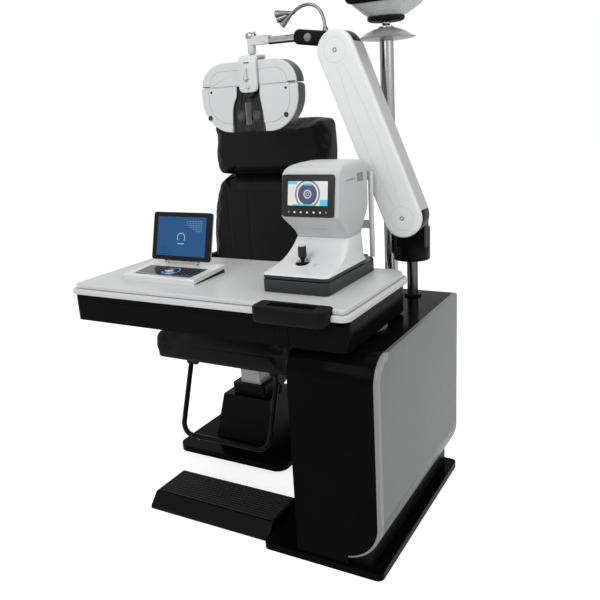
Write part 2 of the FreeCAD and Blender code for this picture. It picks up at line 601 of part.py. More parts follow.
cushion("seat_cushion", seat_mid, (Y_WAY, X_WAY, Z_WAY), value("seat_depth"), value("seat_width / 2"),
        seat_half, value("seat_crown"), (value("seat_nose"), value("seat_pull")), value("seat_edge"),
        seat_grooves, roll=seat_roll)

back_half = value("back_thick") / 2 - value("back_crown") / 2
back_mid = FreeCAD.Vector(value("chair_x"), value("back_front + back_thick") - back_half,
                          value("back_low + back_height / 2"))
back_groove_y = value("back_front - channel_radius + channel_sink")
back_grooves = []
for i in range(2):
    groove_x = value("chair_x") + (i - 0.5) * 2 * value("channel_step")
    low = FreeCAD.Vector(groove_x, back_groove_y, value("back_low + seat_nose"))
    high = FreeCAD.Vector(groove_x, back_groove_y, value("back_top - seat_nose"))
    back_grooves.append(channel(low, high))
cushion("backrest_cushion", back_mid, (Z_WAY, X_WAY, Y_WAY * -1), value("back_height"),
        value("back_width / 2"), back_half, value("back_crown"), (value("back_pull"), value("back_pull")),
        value("back_edge"), back_grooves, taper=value("back_taper"))

head_half = value("back_thick") / 2 - value("head_crown") / 2
head_mid = FreeCAD.Vector(value("chair_x"), value("back_front + back_thick") - head_half,
                          value("head_low_z + head_height / 2"))
cushion("headrest_cushion", head_mid, (Z_WAY, X_WAY, Y_WAY * -1), value("head_height"),
        value("head_width / 2"), head_half, value("head_crown"), (value("head_pull"), value("head_pull")),
        value("back_edge"), [])


# Footrest: a U of round tube that hangs from two eyes

def bent_tube(points, bend, radius):
    """A tube along straight runs joined by tangent arcs of one radius."""
    edges = []
    start = points[0]
    for before, corner, after in zip(points, points[1:], points[2:]):
        back = before.sub(corner).normalize()
        ahead = after.sub(corner).normalize()
        half = back.getAngle(ahead) / 2
        reach = bend / math.tan(half)
        first = corner + back * reach
        last = corner + ahead * reach
        inward = (back + ahead).normalize()
        middle = corner + inward * (bend / math.sin(half) - bend)
        edges.append(Part.makeLine(start, first))
        edges.append(arc_through(first, middle, last))
        start = last
    edges.append(Part.makeLine(start, points[-1]))
    path = Part.Wire(edges)
    way = points[1].sub(points[0])
    section = Part.Wire([Part.Circle(points[0], way, radius).toShape()])
    return path.makePipeShell([section], True, False)


foot_y, foot_z = value("foot_pivot_y"), value("foot_pivot_z")
foot_points = []
for side, low in ((-1, False), (-1, True), (1, True), (1, False)):
    foot_x = value("chair_x") + side * value("foot_half")
    drop = value("foot_drop") if low else value("foot_eye") * 0.9
    reach = drop * value("foot_reach") / value("foot_drop")
    foot_points.append(FreeCAD.Vector(foot_x, foot_y - reach, foot_z - drop))
footrest = bent_tube(foot_points, value("foot_bend"), value("foot_tube"))
for side in (-1, 1):
    eye_low = FreeCAD.Vector(value("chair_x") + side * value("foot_half") - value("foot_eye_length") / 2,
                             foot_y, foot_z)
    footrest = footrest.fuse(Part.makeCylinder(value("foot_eye"), value("foot_eye_length"), eye_low, X_WAY))
for side in (-1, 1):
    hole_low = FreeCAD.Vector(value("chair_x") + side * value("foot_half") - value("foot_eye_length"),
                              foot_y, foot_z)
    footrest = footrest.cut(Part.makeCylinder(value("foot_pin + pin_gap"), value("2 * foot_eye_length"),
                                              hole_low, X_WAY))
solid_node("footrest_tube", footrest)

# Cabinet: a shell open at its service side, back and foot, closed by the side and back panels


def primitive(kind, name, turn=None, **expressions):
    """A Part primitive bound to the sheets, turned about a level axis where one is given."""
    thing = doc.addObject("Part::" + kind, name)
    if turn:
        thing.Placement = FreeCAD.Placement(FreeCAD.Vector(0, 0, 0), FreeCAD.Rotation(turn[0], turn[1]))
    bind(thing, **expressions)
    return thing


def boolean(kind, name, base, tool):
    """A helper boolean of two objects that isn't a sub-part itself."""
    thing = doc.addObject("Part::" + kind, name)
    thing.Base = base
    thing.Tool = tool
    return thing


def hull_drum(name, radius, height):
    """A drum along the whole cabinet that the hull's curve follows."""
    return primitive("Cylinder", name, (X_WAY, -90), Radius=radius, Height="cab_back - cab_front + 4 * over",
                     Placement__Base__x="hull_x", Placement__Base__y="cab_front - 2 * over",
                     Placement__Base__z=height)


corner_block = primitive("Box", "corner_block", Length="cab_right - hull_tip + over",
                         Width="cab_back - cab_front + 2 * over", Height="hull_inner_z - base_thick + over",
                         Placement__Base__x="hull_tip", Placement__Base__y="cab_front - over",
                         Placement__Base__z="base_thick - over")
corner_drum = hull_drum("corner_drum", "hull_inner", "hull_inner_z")
corner_tool = boolean("Cut", "corner_tool", corner_block, corner_drum)

shell = Piece("cabinet_box", is_node=False)
shell.pad("YZ", rect("cab_front", "cab_back", "cab_floor", "cab_top"), "cab_left", "cab_right - cab_left")
shell.pocket("YZ", rect("cab_front + cab_wall", "cab_back + over", "cab_floor - over", "cab_ceiling"),
             "cab_left + cab_wall", "cab_right - cab_left", {"cab_front_round - cab_wall": [3]})
for radius, edge_y in (("cab_front_round", "cab_front"), ("cab_back_round", "cab_back")):
    shell.round_edges(X_WAY, [FreeCAD.Vector(0, value(edge_y), value("cab_top"))], radius)
shell.bore("XY", ("pivot_x", "pivot_y"), "shaft_hole", "cab_ceiling - over", "cab_wall + 2 * over")
cut_node("cabinet_shell", shell.body, corner_tool)

side_panel = Piece("cabinet_side_panel")
side_panel.pad("YZ", rect("cab_front", "cab_back", "hull_low", "cab_top"), "hull_x - panel_thick",
               "base_right - hull_x + panel_thick")
side_panel.pocket("XZ", rect("hull_x - panel_thick - over", "cab_right", "hull_low + hull_lip",
                             "cab_top + over"), "cab_front - over", "cab_back - cab_front + 2 * over",
                  {"hull_inner": [1]})
side_panel.round_edges(Y_WAY, [FreeCAD.Vector(value("base_right"), 0, value("hull_low"))], "hull_radius")
side_panel.pocket("XZ", rect("hull_x - panel_thick - over", "hull_tip", "hull_low - over", "hull_inner_z"),
                  "cab_front - over", "cab_back - cab_front + 2 * over")
for radius, edge_y in (("cab_front_round", "cab_front"), ("cab_back_round", "cab_back")):
    side_panel.round_edges(X_WAY, [FreeCAD.Vector(0, value(edge_y), value("cab_top"))], radius)

plinth_box = primitive("Box", "plinth_box", Length="plinth_right - plinth_left",
                       Width="cab_back - cab_front - 2 * plinth_inset", Height="hull_z - base_thick",
                       Placement__Base__x="plinth_left", Placement__Base__y="cab_front + plinth_inset",
                       Placement__Base__z="base_thick")
plinth_drum = hull_drum("plinth_drum", "hull_radius + soft_gap", "hull_z")
plinth_block = boolean("Cut", "plinth_block", plinth_box, plinth_drum)
plinth_room = primitive("Box", "plinth_room", Length="plinth_right - plinth_left - plinth_wall + over",
                        Width="cab_back - cab_front - 2 * (plinth_inset + plinth_wall)",
                        Height="hull_z - base_thick + 2 * over", Placement__Base__x="plinth_left - over",
                        Placement__Base__y="cab_front + plinth_inset + plinth_wall",
                        Placement__Base__z="base_thick - over")
cut_node("cabinet_plinth", plinth_block, plinth_room)

service = Piece("service_plate", is_node=False)
service.pad("XZ", rect("cab_left + cab_wall", "cab_right", "cab_floor", "cab_ceiling"), "service_front",
            "service_thick")
cut_node("cabinet_back_panel", service.body, corner_tool)

pivot_column = Piece("pivot_column")
pivot_column.disc("XY", ("pivot_x", "pivot_y"), "pivot_foot", "base_thick", "pivot_foot_thick")
pivot_column.disc("XY", ("pivot_x", "pivot_y"), "pivot_tube", "base_thick", "cab_ceiling - base_thick")
pivot_column.bore("XY", ("pivot_x", "pivot_y"), "shaft_radius + bore_gap", "shaft_low - over",
                  "shaft_length + over")

# Poles with their flanges, and the tray at the head of the chart pole

Piece("arm_pole").disc("XY", ("arm_pole_x", "arm_pole_y"), "arm_pole_radius", "cab_top",
                       "arm_pole_top - cab_top")
chart_pole = Piece("chart_pole")
chart_pole.disc("XY", ("chart_x", "chart_y"), "chart_radius", "cab_top", "chart_top - cab_top")
chart_pole.bore("XY", ("chart_x", "chart_y"), "chart_radius - pole_wall", "cab_top + flange_thick",
                "chart_top - cab_top")
flanges = Piece("pole_flanges")
flanges.disc("XY", ("arm_pole_x", "arm_pole_y"), "arm_pole_radius + flange_grow", "cab_top", "flange_thick")
flanges.disc("XY", ("chart_x", "chart_y"), "chart_radius + chart_flange_grow", "cab_top", "flange_thick")
flanges.bore("XY", ("arm_pole_x", "arm_pole_y"), "arm_pole_radius + bore_gap", "cab_top - over",
             "flange_thick + 2 * over")
flanges.bore("XY", ("chart_x", "chart_y"), "chart_radius + bore_gap", "cab_top - over",
             "flange_thick + 2 * over")
tray_profile = [("0", "tray_low"), ("tray_radius", "tray_low + tray_rim / 2"),
                ("tray_radius", "tray_low + 1.5 * tray_rim"), ("tray_crown", "tray_top"), ("0", "tray_top")]
Piece("chart_tray").turn(("chart_x", "chart_y"), tray_profile)

# Table: slab in two tiers, apron with the drawer's mouth, grab tray and turntable spindle

slab_rim = Piece("slab_rim", is_node=False)
slab_rim.pad("XY", rect("table_left", "table_right", "table_front", "table_back"), "slab_low", "rim_height",
             {"table_corner": [0, 1, 3], "table_back_corner": [2]})
slab_field = Piece("slab_field", is_node=False)
slab_field.pad("XY", rect("table_left + slab_inset", "table_right - slab_inset", "table_front + slab_inset",
                          "table_back - slab_inset"), "rim_top", "table_top - rim_top",
               {"table_corner - slab_inset": [0, 1, 3], "table_back_corner - slab_inset": [2]})
slab_notch = primitive("Box", "slab_notch", Length="handle_width", Width="handle_depth",
                       Height="slab_thick + 2 * over", Placement__Base__x="handle_left",
                       Placement__Base__y="handle_front", Placement__Base__z="slab_low - over")
slab = boolean("Fuse", "slab_tiers", slab_rim.body, slab_field.body)
cut_node("table_top", slab, slab_notch)

apron = Piece("table_apron")
apron_points = rect("apron_left", "apron_right", "apron_front", "apron_back")
apron.pad("XY", apron_points, "apron_low", "apron_height")
apron.pocket("XY", rect("apron_left + apron_wall", "apron_right - apron_wall", "apron_front + apron_wall",
                        "apron_back - apron_wall"), "apron_low + apron_floor", "apron_height",
             {"table_corner - apron_wall": [0, 1, 3], "table_back_corner - apron_wall": [2]})
for radius, corners in (("table_corner", (0, 1, 3)), ("table_back_corner", (2,))):
    corner_spots = [FreeCAD.Vector(value(apron_points[i][0]), value(apron_points[i][1]), 0) for i in corners]
    apron.round_edges(Z_WAY, corner_spots, radius)
apron.pocket("XZ", rect("drawer_left", "drawer_right", "apron_low - over", "apron_low + drawer_height"),
             "apron_front - over", "drawer_front_thick + over")
apron.pocket("XZ", rect("handle_left", "handle_right", "handle_low", "slab_low + over"),
             "handle_front", "handle_depth")

drawer = Piece("lens_drawer")
drawer.pad("XZ", rect("drawer_left + drawer_gap", "drawer_right - drawer_gap", "apron_low",
                      "apron_low + drawer_height - drawer_gap"), "apron_front",
           "drawer_front_thick - drawer_gap")
drawer.pad("XY", rect("drawer_left + drawer_box_inset", "drawer_right - drawer_box_inset",
                      "apron_front + drawer_front_thick - drawer_wall",
                      "apron_front + drawer_front_thick + drawer_box_depth"), "drawer_floor",
           "drawer_height - drawer_box_inset")
drawer.pocket("XY", rect("drawer_left + drawer_box_inset + drawer_wall",
                         "drawer_right - drawer_box_inset - drawer_wall",
                         "apron_front + drawer_front_thick",
                         "apron_front + drawer_front_thick + drawer_box_depth - drawer_wall"),
              "drawer_floor + drawer_wall", "drawer_height")

spindle = Piece("table_spindle")
spindle.disc("XY", ("pivot_x", "pivot_y"), "ring_radius", "ring_low", "apron_low - ring_low")
spindle.disc("XY", ("pivot_x", "pivot_y"), "shaft_radius", "shaft_low", "ring_low - shaft_low + over")

handle = Piece("handle_tray")
handle.pad("XY", rect("handle_left", "handle_right", "handle_front", "handle_back"), "handle_low",
           "handle_top - handle_low", {"handle_round": [0, 1]})
handle.pocket("XY", rect("(handle_left + handle_right - grab_width) / 2",
                         "(handle_left + handle_right + grab_width) / 2",
                         "(handle_front + handle_back - grab_depth) / 2",
                         "(handle_front + handle_back + grab_depth) / 2"),
              "handle_top - grab_sink", "grab_sink + over", {"handle_round": [0, 1, 2, 3]})

# Auto-refractor: base, cross slides, stage, head and head rest

ar_base = Piece("ar_base")
ar_base.pad("XY", rect("ar_left", "ar_right", "ar_front", "ar_back"), "table_top", "ar_base_height",
            {"ar_round": [0, 1, 2, 3]})
travel_x = "carriage_width / 2 + side_travel + slide_gap"
ar_base.pocket("XY", rect("ar_x - (%s)" % travel_x, "ar_x + " + travel_x,
                          "carriage_y - carriage_depth / 2 - slide_gap",
                          "carriage_y + carriage_depth / 2 + slide_gap"), "recess_low",
               "tray_recess + over")

carriage = Piece("ar_carriage")
carriage.pad("XY", rect("ar_x - carriage_width / 2", "ar_x + carriage_width / 2",
                        "carriage_y - carriage_depth / 2", "carriage_y + carriage_depth / 2"),
             "recess_low + slide_gap", "carriage_top - recess_low - slide_gap")

stage = Piece("ar_stage_cover")
stage.pad("YZ", [("stage_front", "stage_low"), ("stage_back", "stage_low"), ("stage_back", "neck_z"),
                 ("neck_front", "neck_z"), ("stage_knee", "stage_low + stage_ramp"),
                 ("stage_front", "stage_low + stage_lip")],
          "ar_x - stage_width / 2", "stage_width")
for side in (-1, 1):
    neck_low = "ar_x - stage_width / 2 - over" if side < 0 else "ar_x + neck_width / 2"
    stage.pocket("YZ", [("stage_front - over", "stage_low + stage_ramp"),
                        ("stage_back + over", "stage_low + stage_ramp"),
                        ("stage_back + over", "neck_z + over"), ("stage_front - over", "neck_z + over")],
                 neck_low, "(stage_width - neck_width) / 2 + over")
stage.pocket("XY", rect("stick_x - well_half", "stick_x + well_half", "stick_y - well_half",
                        "stick_y + well_half"), "stage_low - over", "stage_lip + over - slide_gap")
stage.bore("XY", ("stick_x", "stick_y"), "boot_hole", "stage_low", "stage_ramp + over")
stage.bore("XY", ("stick_x", "stick_y"), "boot_radius + slide_gap", "boot_low - slide_gap", "stage_ramp")
stage.bore("YZ", ("stick_y", "stick_pivot_z"), "stick_pin + bore_gap", "stick_x - well_half - stage_wall",
           "2 * (well_half + stage_wall)")
core = "neck_width / 2 - core_inset"
stage.pad("XY", rect("ar_x - (%s)" % core, "ar_x + " + core, "neck_front + core_inset",
                     "stage_back - core_inset"), "neck_z - over", "core_rise + over")

boot = Piece("joystick_boot")
boot.turn(("stick_x", "stick_y"), [("boot_hole", "boot_low"), ("boot_radius", "boot_low"),
                                   ("boot_radius", "boot_low + boot_height"),
                                   ("boot_hole", "boot_low + 2 * boot_height")])


gimbal_pin = Piece("joystick_gimbal")
gimbal_pin.disc("YZ", ("stick_y", "stick_pivot_z"), "stick_pin",
                "stick_x - well_half - stage_wall + slide_gap", "2 * (well_half + stage_wall - slide_gap)")
gimbal_pin.disc("XZ", ("stick_x", "stick_pivot_z"), "drum_radius", "stick_y - drum_half", "2 * drum_half")

stick = Piece("joystick")
stick_profile = [("0", "stick_pivot_z + cup_low"), ("cup_radius", "stick_pivot_z + cup_low"),
                 ("cup_radius", "stick_pivot_z + cup_low + cup_radius / 2"),
                 ("stick_radius", "stick_pivot_z + cup_low + cup_radius"),
                 ("stick_radius", "stick_waist - over"), ("stick_grip", "stick_waist + over"),
                 ("stick_grip", "stick_top"), ("0", "stick_top")]
stick.turn(("stick_x", "stick_y"), stick_profile)
stick.bore("XY", ("stick_x", "stick_y"), "button_radius + bore_gap", "stick_top - button_sink",
           "button_sink + over")
stick.bore("XZ", ("stick_x", "stick_pivot_z"), "drum_radius + bore_gap", "stick_y - cup_radius - over",
           "2 * (cup_radius + over)")
Piece("joystick_button").disc("XY", ("stick_x", "stick_y"), "button_radius",
                              "stick_top - button_sink + button_gap", "button_height")

ar_head = Piece("ar_head_shell")
ar_head.pad("YZ", [("neck_front", "seam_top"), ("head_back", "seam_top"), ("head_deep", "head_belly"),
                   ("head_deep", "head_crest - head_tilt_back"),
                   ("head_deep - head_tilt_back", "head_crest"), ("crest_front", "head_crest"),
                   ("head_front + head_tilt_back", "head_top"), ("head_front", "head_low")],
            "ar_x - head_full / 2", "head_full")
for side in (-1, 1):
    low_x = "ar_x - head_full / 2 - over" if side < 0 else "ar_x + neck_width / 2"
    ar_head.pocket("YZ", [("neck_front - over", "seam_top - over"), ("head_deep + over", "seam_top - over"),
                          ("head_deep + over", "head_low - head_round"),
                          ("neck_front - over", "head_low - head_round")],
                   low_x, "(head_full - neck_width) / 2 + over")
sleeve = "neck_width / 2 - core_inset + slide_gap"
ar_head.pocket("XY", rect("ar_x - (%s)" % sleeve, "ar_x + " + sleeve, "neck_front + core_inset - slide_gap",
                          "stage_back - core_inset + slide_gap"), "seam_top - over",
               "core_rise + slide_gap + over")

ar_display = Piece("ar_display")
ar_display.pad("XZ", rect("-bezel_width / 2", "bezel_width / 2", "0", "bezel_height"), "-bezel_thick",
               "bezel_thick - slide_gap", {"bezel_round": [0, 1, 2, 3]})
ar_display.place(("ar_x", "head_front", "bezel_low"), X_WAY, "-bezel_tilt")

chinrest = Piece("chinrest")
for side in ("-", "+"):
    chinrest.disc("XY", ("ar_x %s rest_half" % side, "rest_y"), "rest_post", "ar_top",
                  "rest_top - ar_top")
chinrest.pad("XZ", rect("ar_x - rest_half", "ar_x + rest_half", "rest_top - brow_height", "rest_top"),
             "rest_y - rest_bar / 2", "rest_bar")
chinrest.pad("XZ", rect("ar_x - rest_half", "ar_x + rest_half", "rest_cup_z - brow_height", "rest_cup_z"),
             "rest_y - rest_bar / 2", "rest_bar")
chinrest.pad("XY", rect("ar_x - cup_width / 2", "ar_x + cup_width / 2", "rest_y - rest_bar / 2",
                        "rest_y + cup_depth"), "rest_cup_z", "rest_bar")

# Control panel: wedge with its keypad, dial and tilting screen

panel = Piece("panel_base")
panel.pad("YZ", [("panel_front", "table_top"), ("panel_back", "table_top"),
                 ("panel_back", "table_top + panel_high"), ("panel_front", "table_top + panel_low_height")],
          "panel_left", "panel_width", {"panel_round / 2": [3]})
for side in ("-", "+"):
    ear_low = "screen_x %s (screen_width / 4) - ear_thick / 2" % side
    panel.pad("YZ", rect("screen_y - screen_axle - ear_thick / 2", "screen_y + screen_axle + ear_thick / 2",
                         "table_top + panel_low_height", "screen_axle_z"), ear_low, "ear_thick")
    panel.disc("YZ", ("screen_y", "screen_axle_z"), "screen_axle + ear_thick / 2", ear_low, "ear_thick")
panel.disc("YZ", ("screen_y", "screen_axle_z"), "screen_axle", "screen_x - screen_width / 4 - ear_thick",
           "screen_width / 2 + 2 * ear_thick")
panel.pocket("YZ", [("panel_front + keypad_front", "keypad_low"),
                    ("panel_front + keypad_front + keypad_depth", "keypad_high"),
                    ("panel_front + keypad_front + keypad_depth", "table_top + panel_high + over"),
                    ("panel_front + keypad_front", "table_top + panel_high + over")],
             "dial_x - keypad_width / 2", "keypad_width")
dial_low = "table_top + panel_low_height"
panel.bore("XY", ("dial_x", "dial_y"), "dial_radius + dial_gap", dial_low, "panel_high")

Piece("panel_dial").turn(("dial_x", "dial_y"), [("0", dial_low + " + soft_gap"),
                                                ("dial_radius", dial_low + " + soft_gap"),
                                                ("dial_radius", dial_low + " + dial_height"),
                                                ("dial_radius * 0.8", dial_low + " + dial_height + over"),
                                                ("0", dial_low + " + dial_height + over")])

screen = Piece("screen_housing")
tab_half = "screen_axle + ear_thick / 2"
tab_round = tab_half + " - slide_gap"
screen.pad("XZ", rect("-screen_width / 2", "screen_width / 2", tab_half + " + 2 * slide_gap",
                      "screen_height"), "-screen_thick", "screen_thick", {"screen_round": [0, 1, 2, 3]})
for side in ("-", "+"):
    tab_low = "%s screen_width / 4 + (0 %s ear_thick) * 1.5 - ear_thick / 2" % (side, side)
    screen.pad("XZ", rect(tab_low, tab_low + " + ear_thick", "0", tab_half + " + ear_thick"),
               "-(%s)" % tab_round, "2 * (%s)" % tab_round)
    screen.disc("YZ", ("0", "0"), tab_round, tab_low, "ear_thick")
screen.bore("YZ", ("0", "0"), "screen_axle + bore_gap", "-screen_width / 2", "screen_width")
screen.pocket("XZ", rect("-lcd_width / 2", "lcd_width / 2", "lcd_low", "lcd_low + lcd_height"),
              "-screen_thick - over", "lcd_thick + over")
screen.place(("screen_x", "screen_y", "screen_axle_z"), X_WAY, "-screen_tilt")
lcd = Piece("screen_display")
lcd.pad("XZ", rect("-lcd_width / 2", "lcd_width / 2", "lcd_low", "lcd_low + lcd_height"), "-screen_thick",
        "lcd_thick")
lcd.place(("screen_x", "screen_y", "screen_axle_z"), X_WAY, "-screen_tilt")

# Phoropter arm: swivel block on its pole, leaning arm, level head and gooseneck lamp

block = Piece("swivel_block")
block.disc("XY", ("arm_pole_x", "arm_pole_y"), "block_radius", "block_low", "block_top - block_low")
block.pad("XZ", rect("arm_pivot_x - lug_half", "arm_pivot_x + lug_half", "lug_low", "arm_low_z"), "lug_front",
          "lug_back - lug_front")
block.disc("XZ", ("arm_pivot_x", "arm_low_z"), "hub_radius", "hub_front", "hub_back - hub_front")
block.disc("XZ", ("arm_pivot_x", "arm_low_z"), "arm_pin", "beam_front", "hub_front - beam_front + over")
block.bore("XY", ("arm_pole_x", "arm_pole_y"), "arm_pole_radius + bore_gap", "block_low - over",
           "arm_pole_top - block_low + soft_gap")

ARM_PLACE = ("arm_pivot_x", "0", "arm_low_z")


def arm_outline(piece, radius, low, length, add):
    """Two discs and the slab between them, in the arm's own upright frame."""
    for height in ("0", "arm_length"):
        (piece.disc if add else piece.bore)("XZ", ("0", height), radius, low, length)
    (piece.pad if add else piece.pocket)("XZ", rect("-(%s)" % radius, radius, "0", "arm_length"), low, length)


front_cover = Piece("arm_cover_front")
arm_outline(front_cover, "arm_round", "arm_front", "hub_front - arm_front - soft_gap", True)
arm_outline(front_cover, "arm_round - arm_rim", "arm_front + arm_skin", "hub_front - arm_front", False)
front_cover.place(ARM_PLACE, Y_WAY, "-arm_lean")

arm_beam = Piece("arm_beam")
arm_outline(arm_beam, "eye_radius", "beam_front", "beam_thick", True)
arm_beam.pad("XZ", rect("-tube_half", "tube_half", "tube_inset", "arm_length - tube_inset"),
             "beam_back - over", "tube_depth + over")
for height in ("0", "arm_length"):
    arm_beam.bore("XZ", ("0", height), "arm_pin + pin_gap", "beam_front - over", "beam_thick + 2 * over")
arm_beam.place(ARM_PLACE, Y_WAY, "-arm_lean")

rear_cover = Piece("arm_cover_rear")
rear_cover.pad("XZ", rect("-arm_round", "arm_round", "0", "arm_length"), "hub_front", "rear_back - hub_front")
rear_cover.pocket("XZ", rect("-arm_round + arm_rim", "arm_round - arm_rim", "-over", "arm_length + over"),
                  "hub_front - over", "rear_back - hub_front - arm_skin + over")
for height in ("0", "arm_length"):
    rear_cover.bore("XZ", ("0", height), "hub_radius + rear_gap", "hub_front - over",
                    "rear_back - hub_front + 2 * over")
rear_cover.place(ARM_PLACE, Y_WAY, "-arm_lean")

link = Piece("head_link")
link.disc("XZ", ("arm_high_x", "arm_high_z"), "hub_radius", "hub_front", "hub_back - hub_front")
link.disc("XZ", ("arm_high_x", "arm_high_z"), "arm_pin", "beam_front", "hub_front - beam_front + over")
link.pad("XZ", rect("link_left", "arm_high_x", "link_low", "link_top"), "link_front",
         "link_back - link_front", {"link_round": [0, 3]})
link.disc("XZ", ("knob_x", "link_z"), "knob_radius", "link_front - knob_length", "knob_length + over")
link.bore("YZ", ("bar_y", "link_z"), "bar_radius + bar_gap", "link_left - over",
          "bar_bore_end - link_left + over")
link.bore("XY", ("lamp_x", "bar_y"), "lamp_radius + bore_gap", "link_top - lamp_socket", "lamp_socket + over")

bar = Piece("phoropter_bar")
bar.disc("YZ", ("bar_y", "link_z"), "bar_radius", "elbow_right - over", "bar_inner - elbow_right + over")
bar.pad("XZ", rect("elbow_left", "elbow_right", "elbow_low", "elbow_top"), "bar_y - elbow_depth / 2",
        "elbow_depth", {"panel_round / 2": [0, 3]})
bar.disc("XY", ("rod_x", "bar_y"), "rod_sleeve", "rod_sleeve_low", "link_z - rod_sleeve_low")
bar.bore("XY", ("rod_x", "bar_y"), "rod_radius + rod_gap", "rod_sleeve_low - over",
         "elbow_top - rod_sleeve_low + 2 * over")

lamp_points = [FreeCAD.Vector(value("lamp_x"), value("bar_y"), value("link_top - lamp_socket + soft_gap")),
               FreeCAD.Vector(value("lamp_x"), value("bar_y"), value("lamp_head_z + lamp_bend / 2")),
               FreeCAD.Vector(value("lamp_head_x"), value("bar_y"), value("lamp_head_z"))]
solid_node("lamp_gooseneck", bent_tube(lamp_points, value("lamp_bend"), value("lamp_radius")))
lamp_way = lamp_points[2].sub(lamp_points[1]).normalize()
lamp_side = lamp_way.cross(Y_WAY)
lamp_hub = value("lamp_cone_small")
lamp_head = Part.makeCylinder(lamp_hub * 1.2, lamp_hub, lamp_points[2], lamp_way)
for share in (-1, 0, 1):
    tilt = math.radians(value("lamp_spread")) * share - math.radians(value("lamp_spread")) * 0.8
    cone_way = lamp_way * math.cos(tilt) - lamp_side * math.sin(tilt)
    lamp_head = lamp_head.fuse(Part.makeCone(value("lamp_cone_small"), value("lamp_cone_big"),
                                             value("lamp_cone_length"), lamp_points[2] + lamp_way * lamp_hub,
                                             cone_way))
solid_node("lamp_head", lamp_head)

# Phoropter: rod, bracket and upper beam stay, the two lens heads slide apart below

rod = Piece("hanger_rod")
rod.disc("XY", ("rod_x", "bar_y"), "rod_radius", "bracket_high", "elbow_top - bracket_high + soft_gap + over")
rod.disc("XY", ("rod_x", "bar_y"), "cap_radius", "elbow_top + soft_gap", "cap_height")

bracket = Piece("phoropter_bracket")
bracket.pad("XZ", rect("bracket_x - bracket_half", "bracket_x + bracket_half", "bracket_low", "bracket_high"),
            "bracket_front", "bracket_thick", {"bracket_round": [0, 1, 2, 3]})
bracket.pad("XY", rect("bracket_x - bracket_half", "bracket_x + bracket_half", "pho_front - over",
                       "bar_y + bracket_half / 2"), "pho_top", "bracket_high - pho_top",
            {"bracket_round": [2, 3]})

beam = Piece("phoropter_beam")
beam.pad("XZ", rect("pho_x - beam_half", "pho_x + beam_half", "seam_z", "pho_top"), "pho_front",
         "pho_back - pho_front", {"beam_round": [2, 3]})
beam.pocket("XZ", rect("pho_x - pho_half / 2", "pho_x + pho_half / 2", "seam_z - over",
                       "seam_z + rail_height"), "bar_y - rail_depth / 2", "rail_depth")

for side, name in ((-1, "left"), (1, "right")):
    sign = "-" if side < 0 else "+"
    corners = {"head_low_round": [0], "head_up_round": [3]} if side < 0 \
        else {"head_low_round": [1], "head_up_round": [2]}
    inner = "eyes_x %s case_inner" % sign
    outer = "pho_x %s pho_half" % sign
    edges = (outer, inner) if side < 0 else (inner, outer)
    case = Piece(name + "_head_case")
    case.pad("XZ", rect(edges[0], edges[1], "pho_low", "head_top_z"), "pho_front + soft_gap",
             "pho_back - pho_front - soft_gap", corners)
    rail_low = "pho_x - pho_half / 2 + pd_open + over" if side < 0 else inner
    rail_high = inner if side < 0 else "pho_x + pho_half / 2 - pd_open - over"
    case.pad("XZ", rect(rail_low, rail_high, "head_top_z - over", "seam_z + rail_height - soft_gap"),
             "bar_y - rail_depth / 2 + soft_gap", "rail_depth - 2 * soft_gap")
    eye = Piece(name + "_eyepiece")
    nose = "eyes_x %s (pd_close + nose_clear)" % sign
    low_nose = "eyes_x %s nose_gap_low" % sign
    eye_points = [(inner, "pho_low"), (low_nose, "pho_low"), (nose, "pho_low + case_inner"),
                  (nose, "head_top_z"), (inner, "head_top_z")]
    eye.pad("XZ", eye_points, "pho_front + eye_recess", "pho_back - pho_front - 2 * eye_recess")
    eye.bore("XZ", ("eyes_x %s pd_half" % sign, "pho_low + case_inner"), "eye_hole", "pho_front",
             "pho_back - pho_front")

# Chart projector on its ball neck

neck = Piece("neck_stem", is_node=False)
neck.disc("XY", ("chart_x", "chart_y"), "neck_disc", "tray_top + soft_gap", "neck_disc_thick")
neck.disc("XY", ("chart_x", "chart_y"), "neck_stem", "tray_top + soft_gap", "neck_ball_z - tray_top")
ball = primitive("Sphere", "neck_sphere", Radius="neck_ball", Placement__Base__x="chart_x",
                 Placement__Base__y="chart_y", Placement__Base__z="neck_ball_z")
neck.disc("YZ", ("chart_y", "neck_ball_z"), "neck_ball + neck_keel", "chart_x - neck_keel_half",
          "2 * neck_keel_half")
projector_neck = boolean("Fuse", "projector_neck", neck.body, ball)
NODES.append(projector_neck)


def round_rect_wire(middle, width, depth, corner):
    """A level rectangle with round corners."""
    u, v = width / 2 - corner, depth / 2 - corner
    turn = corner * math.sqrt(0.5)
    edges = []
    for u_sign, v_sign in ((1, 1), (-1, 1), (-1, -1), (1, -1)):
        hub = middle + FreeCAD.Vector(u_sign * u, v_sign * v, 0)
        across = hub + FreeCAD.Vector(u_sign * corner, 0, 0)
        ahead = hub + FreeCAD.Vector(0, v_sign * corner, 0)
        bow = hub + FreeCAD.Vector(u_sign * turn, v_sign * turn, 0)
        first, last = (across, ahead) if u_sign * v_sign > 0 else (ahead, across)
        if edges:
            edges.append(Part.makeLine(edges[-1].Vertexes[-1].Point, first))
        edges.append(arc_through(first, bow, last))
    edges.append(Part.makeLine(edges[-1].Vertexes[-1].Point, edges[0].Vertexes[0].Point))
    return Part.Wire(edges)


